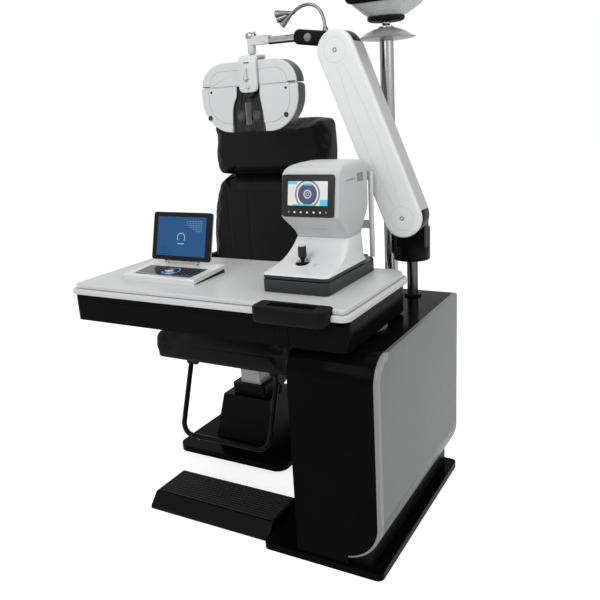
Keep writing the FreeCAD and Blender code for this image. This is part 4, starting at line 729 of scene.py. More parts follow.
def finish_mesh(work: bmesh.types.BMesh, mesh: bpy.types.Mesh, sharp: float = 40.0) -> None:
    """Set smooth faces and sharp edges, and write the work back to its mesh.

    Args:
        work: The mesh under work, which is freed.
        mesh: Where it goes.
        sharp: Edges over this many degrees stay sharp.
    """
    limit = math.radians(sharp)
    for face in work.faces:
        face.smooth = len(face.verts) < 14
    for edge in work.edges:
        edge.smooth = len(edge.link_faces) != 2 or edge.calc_face_angle(0.0) < limit
    work.to_mesh(mesh)
    work.free()
    mesh.update()


def rounded(points: Sequence[Flat], radii: Sequence[float], steps: int = 8) -> list[Flat]:
    """An outline with a round at each corner.

    Args:
        points: The corners in order.
        radii: One radius for each corner.
        steps: Steps in each round.

    Returns:
        The outline's points.
    """
    outline: list[Flat] = []
    count = len(points)
    for number, (corner, radius) in enumerate(zip(points, radii)):
        here = Vector(corner)
        if radius <= 0:
            outline.append(tuple(here))
            continue
        back = (Vector(points[number - 1]) - here).normalized()
        ahead = (Vector(points[(number + 1) % count]) - here).normalized()
        half = back.angle(ahead) / 2
        centre = here + (back + ahead).normalized() * (radius / math.sin(half))
        first = here + back * (radius / math.tan(half)) - centre
        last = here + ahead * (radius / math.tan(half)) - centre
        sweep = first.angle_signed(last)
        for step in range(steps + 1):
            turn = Matrix.Rotation(-sweep * step / steps, 2)
            outline.append(tuple(centre + turn @ first))
    return outline


def box_outline(low: Flat, high: Flat, radii: Sequence[float], steps: int = 8) -> list[Flat]:
    """A rectangle with round corners, from its low corner counterclockwise.

    Args:
        low: The low corner.
        high: The high corner.
        radii: Four radii, or one for all.
        steps: Steps in each round.

    Returns:
        The outline.
    """
    corners = [low, (high[0], low[1]), high, (low[0], high[1])]
    return rounded(corners, list(radii) * (4 // len(radii)), steps)


class Plane(Enum):
    """The plane that an outline lies in; the third axis is its height."""

    FLOOR = "xy"
    FRONT = "xz"
    SIDE = "yz"

    def point(self, flat: Flat, height: float) -> Point:
        """A point of the outline at a height along the third axis."""
        first, second = flat
        if self is Plane.FLOOR:
            return (first, second, height)
        if self is Plane.FRONT:
            return (first, height, second)
        return (height, first, second)


def inset(outline: Sequence[Flat], distance: float) -> list[Flat]:
    """An outline drawn in by a distance along its corners' bisectors.

    Args:
        outline: Points, counterclockwise.
        distance: Metres inwards.

    Returns:
        The inner outline.
    """
    count = len(outline)
    result: list[Flat] = []
    for number, spot in enumerate(outline):
        here = Vector(spot)
        back, ahead = here - Vector(outline[number - 1]), Vector(outline[(number + 1) % count]) - here
        if back.length < 1e-9 or ahead.length < 1e-9:
            back = ahead = back + ahead
        left = Vector((-back.y, back.x)).normalized() + Vector((-ahead.y, ahead.x)).normalized()
        shrink = left.length_squared / 2
        result.append(tuple(here + left * (distance / max(shrink, 0.3))))
    return result


def area_sign(outline: Sequence[Flat]) -> float:
    """Twice the signed area, positive where the outline runs counterclockwise."""
    pairs = zip(outline, list(outline[1:]) + [outline[0]])
    return sum(a[0] * b[1] - b[0] * a[1] for a, b in pairs)


def slab(plane: Plane, outline: Sequence[Flat], low: float, high: float, soft: float = 0.0,
         steps: int = 3, soft_low: float | None = None) -> bpy.types.Mesh:
    """A prism whose rims are rounded.

    Args:
        plane: The outline's plane.
        outline: Its points.
        low: The low end along the third axis.
        high: The high end.
        soft: The radius of the high rim.
        steps: Steps in each round.
        soft_low: The radius of the low rim, or the high one's.

    Returns:
        The mesh.
    """
    outline = list(outline) if area_sign(outline) > 0 else list(reversed(outline))
    soft_low = soft if soft_low is None else soft_low
    rings: list[tuple[float, float]] = []
    for radius, end, way in ((soft_low, low, 1), (soft, high, -1)):
        places = [(0.0, end)] if radius <= 0 else [
            (radius * (1 - math.sin(math.pi / 2 * step / steps)),
             end + way * radius * (1 - math.cos(math.pi / 2 * step / steps))) for step in range(steps + 1)]
        rings += places if way > 0 else list(reversed(places))
    points: list[Point] = []
    for drawn, height in rings:
        ring = inset(outline, drawn) if drawn > 0 else outline
        points += [plane.point(spot, height) for spot in ring]
    count = len(outline)
    faces: list[Sequence[int]] = [list(range(count)), list(range((len(rings) - 1) * count, len(rings) * count))]
    for ring in range(len(rings) - 1):
        for number in range(count):
            after = (number + 1) % count
            base = ring * count
            faces.append((base + number, base + after, base + count + after, base + count + number))
    return mesh_of(points, faces)


def frame_of(way: Vector) -> Matrix:
    """A turn that carries +Z onto a direction."""
    return way.to_track_quat("Z", "Y").to_matrix().to_4x4()


def lathe(profile: Sequence[Flat], centre: Point, way: Point = (0, 0, 1), steps: int = 48) -> bpy.types.Mesh:
    """A turned form.

    Args:
        profile: Radii and heights along the axis.
        centre: Where the axis starts.
        way: The axis.
        steps: Steps round it.

    Returns:
        The mesh.
    """
    turn = Matrix.Translation(Vector(centre)) @ frame_of(Vector(way))
    points: list[Point] = []
    for radius, height in profile:
        for step in range(steps):
            angle = 2 * math.pi * step / steps
            points.append(tuple(turn @ Vector((radius * math.cos(angle), radius * math.sin(angle), height))))
    faces: list[Sequence[int]] = []
    for ring in range(len(profile) - 1):
        for step in range(steps):
            after = (step + 1) % steps
            base = ring * steps
            faces.append((base + step, base + after, base + steps + after, base + steps + step))
    for ring in (0, len(profile) - 1):
        if profile[ring][0] > 1e-6:
            faces.append([ring * steps + step for step in range(steps)])
    return mesh_of(points, faces)


def loft(rings: Sequence[Sequence[Point]], closed: bool = True, sharp: float = 40.0) -> bpy.types.Mesh:
    """A skin over rings of equal count.

    Args:
        rings: The rings in order.
        closed: Whether both ends are capped.
        sharp: Edges over this many degrees stay sharp.

    Returns:
        The mesh.
    """
    count = len(rings[0])
    points = [point for ring in rings for point in ring]
    faces: list[Sequence[int]] = []
    for ring in range(len(rings) - 1):
        for number in range(count):
            after = (number + 1) % count
            base = ring * count
            faces.append((base + number, base + after, base + count + after, base + count + number))
    if closed:
        faces += [list(range(count)), list(range((len(rings) - 1) * count, len(rings) * count))]
    return mesh_of(points, faces, sharp)


def joined(meshes: Iterable[bpy.types.Mesh]) -> bpy.types.Mesh:
    """Several meshes as one."""
    work = bmesh.new()
    for mesh in meshes:
        work.from_mesh(mesh)
        bpy.data.meshes.remove(mesh)
    result = bpy.data.meshes.new("piece")
    work.to_mesh(result)
    work.free()
    return result


def moved(mesh: bpy.types.Mesh, turn: Matrix) -> bpy.types.Mesh:
    """The mesh carried by a matrix."""
    mesh.transform(turn)
    mesh.update()
    return mesh


def smooth_path(points: Sequence[Point], steps: int = 8) -> list[Vector]:
    """A Catmull-Rom curve through points.

    Args:
        points: Points that it passes.
        steps: Steps between two of them.

    Returns:
        The curve's points.
    """
    spots = [Vector(point) for point in points]
    spots = [spots[0] * 2 - spots[1]] + spots + [spots[-1] * 2 - spots[-2]]
    path: list[Vector] = []
    for a, b, c, d in zip(spots, spots[1:], spots[2:], spots[3:]):
        for step in range(steps):
            t = step / steps
            path.append(0.5 * (2 * b + (c - a) * t + (2 * a - 5 * b + 4 * c - d) * t * t
                               + (3 * b - a - 3 * c + d) * t ** 3))
    path.append(spots[-2])
    return path


def tube(path: Sequence[Vector], radius: Callable[[float], float] | float, steps: int = 16) -> bpy.types.Mesh:
    """A round tube along a path.

    Args:
        path: Its points.
        radius: One radius, or a function of the share of the way along.
        steps: Steps round it.

    Returns:
        The mesh.
    """
    rings: list[list[Point]] = []
    side = Vector((0.0, 1.0, 0.0))
    last = len(path) - 1
    for number, spot in enumerate(path):
        way = (path[min(number + 1, last)] - path[max(number - 1, 0)]).normalized()
        side = (side - way * side.dot(way)).normalized()
        up = way.cross(side)
        size = radius(number / last) if callable(radius) else radius
        rings.append([tuple(spot + (side * math.cos(2 * math.pi * step / steps)
                                    + up * math.sin(2 * math.pi * step / steps)) * size)
                      for step in range(steps)])
    return loft(rings)


def carved(mesh: bpy.types.Mesh, *tools: bpy.types.Mesh) -> bpy.types.Mesh:
    """A mesh less the volumes of its tools."""
    scene = bpy.context.scene.collection.objects
    base = bpy.data.objects.new("carved", mesh)
    scene.link(base)
    cutters = []
    for tool in tools:
        cutter = bpy.data.objects.new("cutter", tool)
        scene.link(cutter)
        cutters.append(cutter)
        cut = base.modifiers.new("cut", "BOOLEAN")
        cut.operation, cut.solver, cut.object = "DIFFERENCE", "EXACT", cutter
    state = bpy.context.evaluated_depsgraph_get()
    result = bpy.data.meshes.new_from_object(base.evaluated_get(state))
    for thing in [base] + cutters:
        data = thing.data
        bpy.data.objects.remove(thing)
        bpy.data.meshes.remove(data)
    work = bmesh.new()
    work.from_mesh(result)
    finish_mesh(work, result)
    return result


def round_box_ring(centre: Flat, half: Flat, corner: float, height: float, count: int = 12) -> list[Point]:
    """A level rectangle with round corners and a set count of points.

    Args:
        centre: Its middle.
        half: Half its width and half its depth.
        corner: The corner's radius.
        height: Its level.
        count: Steps in each corner.

    Returns:
        The ring's points.
    """
    ring: list[Point] = []
    corner = min(corner, half[0] - 0.01, half[1] - 0.01)
    for quarter, (way_x, way_y) in enumerate(((1, 1), (-1, 1), (-1, -1), (1, -1))):
        hub = (centre[0] + way_x * (half[0] - corner), centre[1] + way_y * (half[1] - corner))
        for step in range(count + 1):
            angle = math.pi / 2 * (quarter + step / count)
            ring.append((hub[0] + corner * math.cos(angle), hub[1] + corner * math.sin(angle), height))
    return ring


FRAME: dict[str, object] = {}


@dataclass
class Stage:
    """Floor, light and camera."""

    camera_at: Point = (0.8735, -1.9195, 1.3265)
    right: Point = (0.8750, 0.4806, -0.0571)
    down: Point = (0.0832, -0.2655, -0.9605)
    forward: Point = (-0.4767, 0.8358, -0.2723)
    lens: float = 41.886
    sensor: float = 36.0
    floor_level: float = -0.0006
    floor_half: float = 14.0

    def build(self) -> None:
        """Make the floor, the world, the lamps and the camera."""
        self.build_floor()
        self.build_world()
        self.build_lamps()
        self.build_camera()

    def camera_ray(self, shader: Shader) -> Signal:
        """One for what the camera, metal and glass see, else nought.

        Args:
            shader: The shader that reads it.

        Returns:
            The signal.
        """
        path = shader.node("ShaderNodeLightPath", {}, {})
        seen = shader.out(path, "Is Camera Ray").larger(shader.out(path, "Is Glossy Ray"))
        return seen.larger(shader.out(path, "Is Transmission Ray"))

    def build_floor(self) -> None:
        """A pale floor that keeps the unit's shadow."""
        half = self.floor_half
        mesh = mesh_of([(-half, -half, self.floor_level), (half, -half, self.floor_level),
                        (half, half, self.floor_level), (-half, half, self.floor_level)], [(0, 1, 2, 3)])
        floor = bpy.data.objects.new("studio_floor", mesh)
        bpy.context.scene.collection.objects.link(floor)
        shader = Shader("studio_floor_pale", {"Roughness": 0.7, "Specular IOR Level": 0.2})
        shader.feed("Base Color", shader.mix(shader.noise(1.5, 2.0), (0.83, 0.83, 0.835), (0.86, 0.86, 0.86)))
        shader.surface.inputs["Emission Strength"].default_value = 1.0
        shader.feed("Emission Color", shader.mix(self.camera_ray(shader), grey(0.0), grey(0.56)))
        mesh.materials.append(shader.material)

    def build_world(self) -> None:
        """A soft pale world that is white to the camera."""
        world = bpy.data.worlds.new("studio_world")
        bpy.context.scene.world = world
        world.use_nodes = True
        tree = world.node_tree
        background = tree.nodes["Background"]
        background.inputs["Color"].default_value = (1.0, 1.0, 1.0, 1.0)
        path = tree.nodes.new("ShaderNodeLightPath")
        seen = path.outputs["Is Camera Ray"]
        for name in ("Is Glossy Ray", "Is Transmission Ray"):
            most = tree.nodes.new("ShaderNodeMath")
            most.operation = "MAXIMUM"
            tree.links.new(seen, most.inputs[0])
            tree.links.new(path.outputs[name], most.inputs[1])
            seen = most.outputs[0]
        level = tree.nodes.new("ShaderNodeMapRange")
        level.inputs["To Min"].default_value = 0.5
        level.inputs["To Max"].default_value = 1.0
        tree.links.new(seen, level.inputs["Value"])
        tree.links.new(level.outputs[0], background.inputs["Strength"])

    def build_lamps(self) -> None:
        """Large soft lamps above the front and the sides."""
        for name, place, size, power in (("key_lamp", (-0.6, -3.1, 2.8), 2.4, 68.0),
                                         ("side_lamp", (2.6, -0.6, 2.4), 2.0, 20.0),
                                         ("top_lamp", (0.0, 0.8, 3.4), 3.0, 30.0)):
            lamp = bpy.data.lights.new(name, "AREA")
            lamp.size = size
            lamp.energy = power
            holder = bpy.data.objects.new(name, lamp)
            holder.location = place
            aim = Vector((-0.3, 0.0, 0.8)) - Vector(place)
            holder.rotation_euler = aim.to_track_quat("-Z", "Y").to_euler()
            bpy.context.scene.collection.objects.link(holder)

    def build_camera(self) -> None:
        """The camera at the photograph's viewpoint."""
        data = bpy.data.cameras.new("camera")
        data.sensor_width = self.sensor
        data.lens = self.lens
        data.clip_end = 60.0
        camera = bpy.data.objects.new("camera", data)
        right, up, back = Vector(self.right), -Vector(self.down), -Vector(self.forward)
        turn = Matrix((right, up, back)).transposed().to_4x4()
        camera.matrix_world = Matrix.Translation(Vector(self.camera_at)) @ turn
        bpy.context.scene.collection.objects.link(camera)
        bpy.context.scene.camera = camera


@dataclass
class Carried:
    """CAD nodes whose shape is kept and that get a finish and soft edges."""

    shop: Workshop
    nodes: dict[str, tuple[object, float]] = field(default_factory=lambda: {
        "base_plate": (Finish.FLOOR_STEEL, 0.003), "footstep_casing": (Finish.STEP, 0.003),
        "chair_plate": (Finish.FLOOR_STEEL, 0.006),
        "chair_casing": (Finish.CASING, 0.008), "lift_actuator": (Finish.ACTUATOR, 0.001),
        "cabinet_shell": (Finish.CABINET, 0.0015), "cabinet_side_panel": (Finish.PANEL, 0.0025),
        "cabinet_plinth": (Finish.FRAME, 0.001), "cabinet_back_panel": (Finish.CABINET, 0.001),
        "pivot_column": (Finish.PIVOT, 0.001), "arm_pole": (Finish.ARM_POLE, 0.0),
        "chart_pole": (Finish.CHART_POLE, 0.0), "pole_flanges": (Finish.FLANGE, 0.001),
        "lift_column": (Finish.COLUMN, 0.001),
        "seat_frame": (Finish.SEAT_FRAME, 0.002), "back_frame": (Finish.BACK_FRAME, 0.003),
        "footrest_tube": (Finish.FRAME, 0.0), "left_armrest": (Finish.ARMREST, 0.006),
        "right_armrest": (Finish.ARMREST, 0.006),
        "table_apron": (Finish.APRON, 0.002), "table_spindle": (Finish.PIVOT, 0.001),
        "lens_drawer": (Finish.DRAWER, 0.001), "chinrest": (Finish.REST, 0.001),
        "ar_carriage": (Finish.SLIDE, 0.0005), "joystick_gimbal": (Finish.SLIDE, 0.0),
        "ar_display": (Finish.BEZEL, 0.0015), "panel_base": (Finish.PANEL_WHITE, 0.0025),
        "screen_housing": (Finish.TABLET, 0.002), "screen_display": (Finish.TABLET_SCREEN, 0.0),
        "swivel_block": (Finish.ARM_BLACK, 0.003), "arm_cover_rear": (Finish.ARM_SIDE, 0.004),
        "arm_beam": (Finish.ARM_STEEL, 0.001), "hanger_rod": (Finish.BAR, 0.002),
        "left_eyepiece": (Finish.LENS, 0.003), "right_eyepiece": (Finish.LENS, 0.003),
        "projector_neck": (Finish.BAR, 0.0005)})

    def build(self) -> None:
        """Dress every carried node."""
        for node, (finish, bevel) in self.nodes.items():
            self.shop.dress_node(node, finish, bevel)


@dataclass
class Phoropter:
    """Beam, two lens heads with their plates and rims, bracket and lever."""

    shop: Workshop
    front: float = 139.0
    back: float = 197.0
    plate: float = 8.0
    seam: float = 1390.0
    top: float = 1468.0
    low: float = 1238.0
    middle: float = HANGER_X
    half: float = 191.0
    beam_left: float = -641.0
    beam_right: float = -267.0
    head_round: float = 118.0
    bracket_x: float = -445.0
    bracket_half: float = 36.0
    eye_level: float = 1291.0
    inner_edges: tuple[tuple[Flat, ...], ...] = (
        ((-527.0, 1239.0), (-525.0, 1279.0), (-521.0, 1316.0), (-513.0, 1339.0), (-503.0, 1358.0), (-500.0, 1388.0)),
        ((-395.0, 1239.0), (-396.0, 1267.0), (-398.5, 1300.0), (-403.0, 1330.0), (-407.0, 1357.0), (-404.5, 1388.0)))

    def build(self) -> None:
        """Build the beam, both heads and the bracket."""
        self.build_beam()
        self.build_head("left", -1)
        self.build_head("right", 1)
        self.build_bracket()

    def plate_skin(self, outline: Sequence[Flat], fields: Sequence[Sequence[Flat]]) -> bpy.types.Mesh:
        """A white front plate with its raised fields.

        Args:
            outline: The plate's outline.
            fields: The raised fields' outlines.

        Returns:
            The mesh.
        """
        skin = slab(Plane.FRONT, outline, self.front + 0.8, self.front + self.plate, 2.6, 4, 3.4)
        return joined([skin] + [slab(Plane.FRONT, one, self.front, self.front + 3.0, 0.0, 3, 0.8) for one in fields])

    def field_lines(self, fields: Sequence[Sequence[Flat]]) -> bpy.types.Mesh:
        """The fine shadow line round each raised field."""
        rims = [one if area_sign(one) > 0 else list(reversed(one)) for one in fields]
        return joined([slab(Plane.FRONT, inset(rim, -1.3), self.front + 0.55, self.front + 1.6) for rim in rims])

    def dome(self, left: float, right: float, high: float, rounds: tuple[float, float], rise: float) -> list[Flat]:
        """The beam's outline: a flat foot and two elliptical shoulders.

        Args:
            left: Its left end.
            right: Its right end.
            high: Its top.
            rounds: How far each shoulder reaches along the beam.
            rise: How far the shoulders reach down.

        Returns:
            The outline.
        """
        foot = self.seam + 1.6
        outline: list[Flat] = [(left, foot), (right, foot)]
        for step in range(19):
            angle = math.pi / 2 * step / 18
            outline.append((right - rounds[1] * (1 - math.cos(angle)), high - rise * (1 - math.sin(angle))))
        for step in range(18, -1, -1):
            angle = math.pi / 2 * step / 18
            outline.append((left + rounds[0] * (1 - math.cos(angle)), high - rise * (1 - math.sin(angle))))
        return outline

    def build_beam(self) -> None:
        """The upper beam: dark body, white plate and two raised fields."""
        home = Home("phoropter", "phoropter_white")
        low, high = self.seam + 1.6, self.top
        inner = [rounded([(self.beam_left + 34, low), (self.bracket_x - 38, low), (self.bracket_x - 38, high - 28),
                          (self.beam_left + 34, high - 28)], (0.8, 0.8, 0.8, 48.0), 14),
                 rounded([(self.bracket_x + 38, low), (self.beam_right - 34, low), (self.beam_right - 34, high - 28),
                          (self.bracket_x + 38, high - 28)], (0.8, 0.8, 48.0, 0.8), 14)]
        outline = self.dome(self.beam_left, self.beam_right, high, (98.0, 80.0), 75.0)
        self.shop.add("beam_plate", self.plate_skin(outline, inner), Finish.PHOROPTER, home)
        self.shop.add("beam_field_lines", self.field_lines(inner), Finish.FIELD_LINE, home)
        rim = self.dome(self.beam_left + 0.6, self.beam_right - 0.6, high - 0.6, (98.0, 80.0), 74.4)
        self.shop.add("beam_body", slab(Plane.FRONT, rim, self.front + 4, self.back, 5.0, 4, 0.0), Finish.RIM, home,
                      ["phoropter_beam"])

    def build_head(self, side: str, way: int) -> None:
        """One lens head: plate, raised field, dark body, screws, lens board rings and eye cup.

        Args:
            side: Its name.
            way: Minus one on the left, one on the right.
        """
        home = Home(side + "_head", "phoropter_white")
        dark = Home(side + "_head", "lens_black")
        outer = self.middle + way * self.half
        high = self.seam - 1.9
        curve = [tuple(spot)[:2] for spot in smooth_path([(*spot, 0.0) for spot in self.inner_edges[way > 0]], 5)]
        plain = [0.0] * (len(curve) - 1)
        outline = rounded([(outer, self.low), *curve, (outer, high)], (self.head_round - 4, 1.5, *plain, 5.0), 18)
        edge = outer - way * 31
        risen = [(x - way * 0.8, z) for x, z in curve if z > self.low + 31]
        inner = rounded([(edge, self.low + 31), (risen[0][0], self.low + 31), *risen, (edge, high)],
                        (78.0, 0.8, *[0.0] * len(risen), 0.8), 18)
        self.shop.add(side + "_head_plate", self.plate_skin(outline, [inner]), Finish.PHOROPTER, home)
        self.shop.add(side + "_field_line", self.field_lines([inner]), Finish.FIELD_LINE, home)
        board = EYE_MIDDLE + way * 58.0
        rim = rounded([(outer + way * -0.6, self.low + 0.6), (board, self.low + 0.6), (board, self.seam - 0.5),
                       (outer + way * -0.6, self.seam - 0.5)], (self.head_round, 2.0, 2.0, 14.0), 18)
        body = slab(Plane.FRONT, rim, self.front + 4, self.back, 5.0, 4, 0.0)
        self.shop.add(side + "_head_body", body, Finish.RIM, home, [side + "_head_case"])
        eye = (EYE_MIDDLE + way * 32.0, 147.0, self.eye_level)
        ring = lathe([(9.2, 0.0), (9.2, 1.2), (11.0, 1.9), (15.5, 1.9), (17.0, 1.2), (17.0, 0.0)], eye, (0, -1, 0))
        cup = lathe([(9.2, 0.0), (9.2, 2.5), (12.0, 6.0), (22.0, 6.0), (24.0, 3.0), (24.0, 0.0)],
                    (eye[0], self.back - 8.0, eye[2]), (0, 1, 0))
        self.shop.add(side + "_eye_rings", joined([ring, cup]), Finish.LENS_RING, dark)
        glass = lathe([(0.0, 0.0), (11.4, 0.0), (11.4, 0.9), (8.0, 1.5), (0.0, 1.9)], (eye[0], 146.4, eye[2]),
                      (0, -1, 0), 32)
        self.shop.add(side + "_eye_glass", glass, Finish.LENS_GLASS, dark)
        screw_x, dot_x = ((-604.0, -616.0), (-307.0, -311.0))[way > 0]
        screw = lathe([(0.0, 1.0), (3.6, 1.0), (4.4, 0.4), (4.4, -1.0)], (screw_x, self.front, 1375.0),
                      (0, -1, 0), 20)
        dot = lathe([(0.0, 0.6), (3.0, 0.6), (4.0, 1.6), (8.0, 1.9), (8.6, 1.0), (8.6, -1.0)],
                    (dot_x, self.front, 1290.0), (0, -1, 0), 32)
        self.shop.add(side + "_head_screws", joined([screw, dot]), Finish.LENS_RING, dark)
        halo = lathe([(8.6, 0.0), (8.6, 0.6), (10.6, 0.9), (11.6, 0.0)], (dot_x, self.front + 0.2, 1290.0),
                     (0, -1, 0), 32)
        self.shop.add(side + "_head_halo", halo, Finish.PHOROPTER, home)
        if way < 0:
            self.build_nose_pad()

    def build_nose_pad(self) -> None:
        """The ribbed grey pad on the left board's side of the nose gap."""
        ribs = [slab(Plane.SIDE, box_outline((150.0, level), (179.0, level + 3.4), (1.0,), 3), -474.2, -472.4,
                     0.5, 2, 0.0)
                for level in range(1264, 1334, 5)]
        back = slab(Plane.SIDE, box_outline((148.0, 1262.0), (181.0, 1336.0), (3.0,), 4), -474.4, -473.4, 0.3, 2, 0.0)
        self.shop.add("nose_pad", joined(ribs + [back]), Finish.NOSE, Home("left_head", "lens_black"))

    def bent_sheet(self) -> bpy.types.Mesh:
        """The bracket's sheet: upright in front, bent back over the beam to the rod."""
        bend, front, top, foot, rear = 22.0, 132.0, 1479.4, 1367.4, 201.8
        spots = [(front, foot + step) for step in (0.0, 1.0, 2.6, 5.0, 8.5, 13.0, 18.0, 60.0)]
        spots += [(front + bend * (1 - math.cos(math.pi / 2 * step / 8)),
                   top - bend * (1 - math.sin(math.pi / 2 * step / 8))) for step in range(9)]
        spots += [(rear - step, top) for step in (26.0, 20.0, 13.0, 8.0, 4.5, 2.0, 0.8, 0.0)]
        rings: list[list[Point]] = []
        last = len(spots) - 1
        reach = 0.0
        lengths = [0.0]
        for a, b in zip(spots, spots[1:]):
            reach += math.dist(a, b)
            lengths.append(reach)
        for number, spot in enumerate(spots):
            way = Vector(spots[min(number + 1, last)]) - Vector(spots[max(number - 1, 0)])
            way.normalize()
            half = self.bracket_half
            for corner, away in ((18.0, lengths[number]), (12.0, reach - lengths[number])):
                if away < corner:
                    half -= corner - math.sqrt(max(corner ** 2 - (corner - away) ** 2, 0.0))
            ring = box_outline((-half, -6.4), (half, 6.4), (4.6,), 4)
            rings.append([(self.bracket_x + across, spot[0] - way.y * out, spot[1] + way.x * out)
                          for across, out in ring])
        return loft(rings, True, 50.0)

    def build_bracket(self) -> None:
        """The bracket that folds back to the rod, with its slot, lever, lower knob and black knobs below."""
        home = Home("phoropter", "phoropter_white")
        middle = self.bracket_x
        seat = slab(Plane.FLOOR, box_outline((middle - 33, 141.0), (middle + 33, 198.0), (8.0,), 5), 1468.3, 1476.0)
        self.shop.add("bracket_plate", joined([self.bent_sheet(), seat]), Finish.PHOROPTER, home,
                      ["phoropter_bracket"])
        slot = slab(Plane.FRONT, box_outline((middle - 10, 1459.0), (middle + 10, 1462.4), (1.2,), 3), 125.2, 127.4)
        self.shop.add("bracket_slot", slot, Finish.SLOT, home)
        track = slab(Plane.FRONT, box_outline((middle - 8, 1404.0), (middle + 8, 1448.0), (7.9,), 8), 124.0, 127.0,
                     0.0, 2, 0.8)
        lever = tube([Vector((middle, 122.0, level)) for level in (1444.0, 1432.0, 1420.0, 1412.0)],
                     lambda share: 3.2 + 1.2 * share, 16)
        ball = lathe([(0.0, 7.5), (4.5, 7.0), (7.5, 4.5), (8.6, 1.0), (8.6, -3.0)], (middle - 3, 122.0, 1411.0),
                     (0, -1, 0), 28)
        knob = lathe([(0.0, 5.0), (4.0, 4.8), (6.0, 3.0), (6.6, 0.0), (6.6, -2.0)], (middle + 2, 125.6, 1383.0),
                     (0, -1, 0), 28)
        self.shop.add("bracket_track", track, Finish.ELBOW, home)
        self.shop.add("bracket_lever", joined([lever, ball, knob]), Finish.LEVER, home)
        wheels = [lathe([(0.0, -0.6), (radius - 1, -0.6), (radius, 0.4), (radius, 7.6), (radius - 1, 8.6), (0.0, 8.6)],
                        (x, 137.6, z), (0, -1, 0), 24)
                  for radius, x, z in ((9.0, -458.0, 1361.0), (7.5, -446.0, 1354.0), (8.0, -434.5, 1362.0))]
        self.shop.add("bracket_wheels", joined(wheels), Finish.LENS, home)


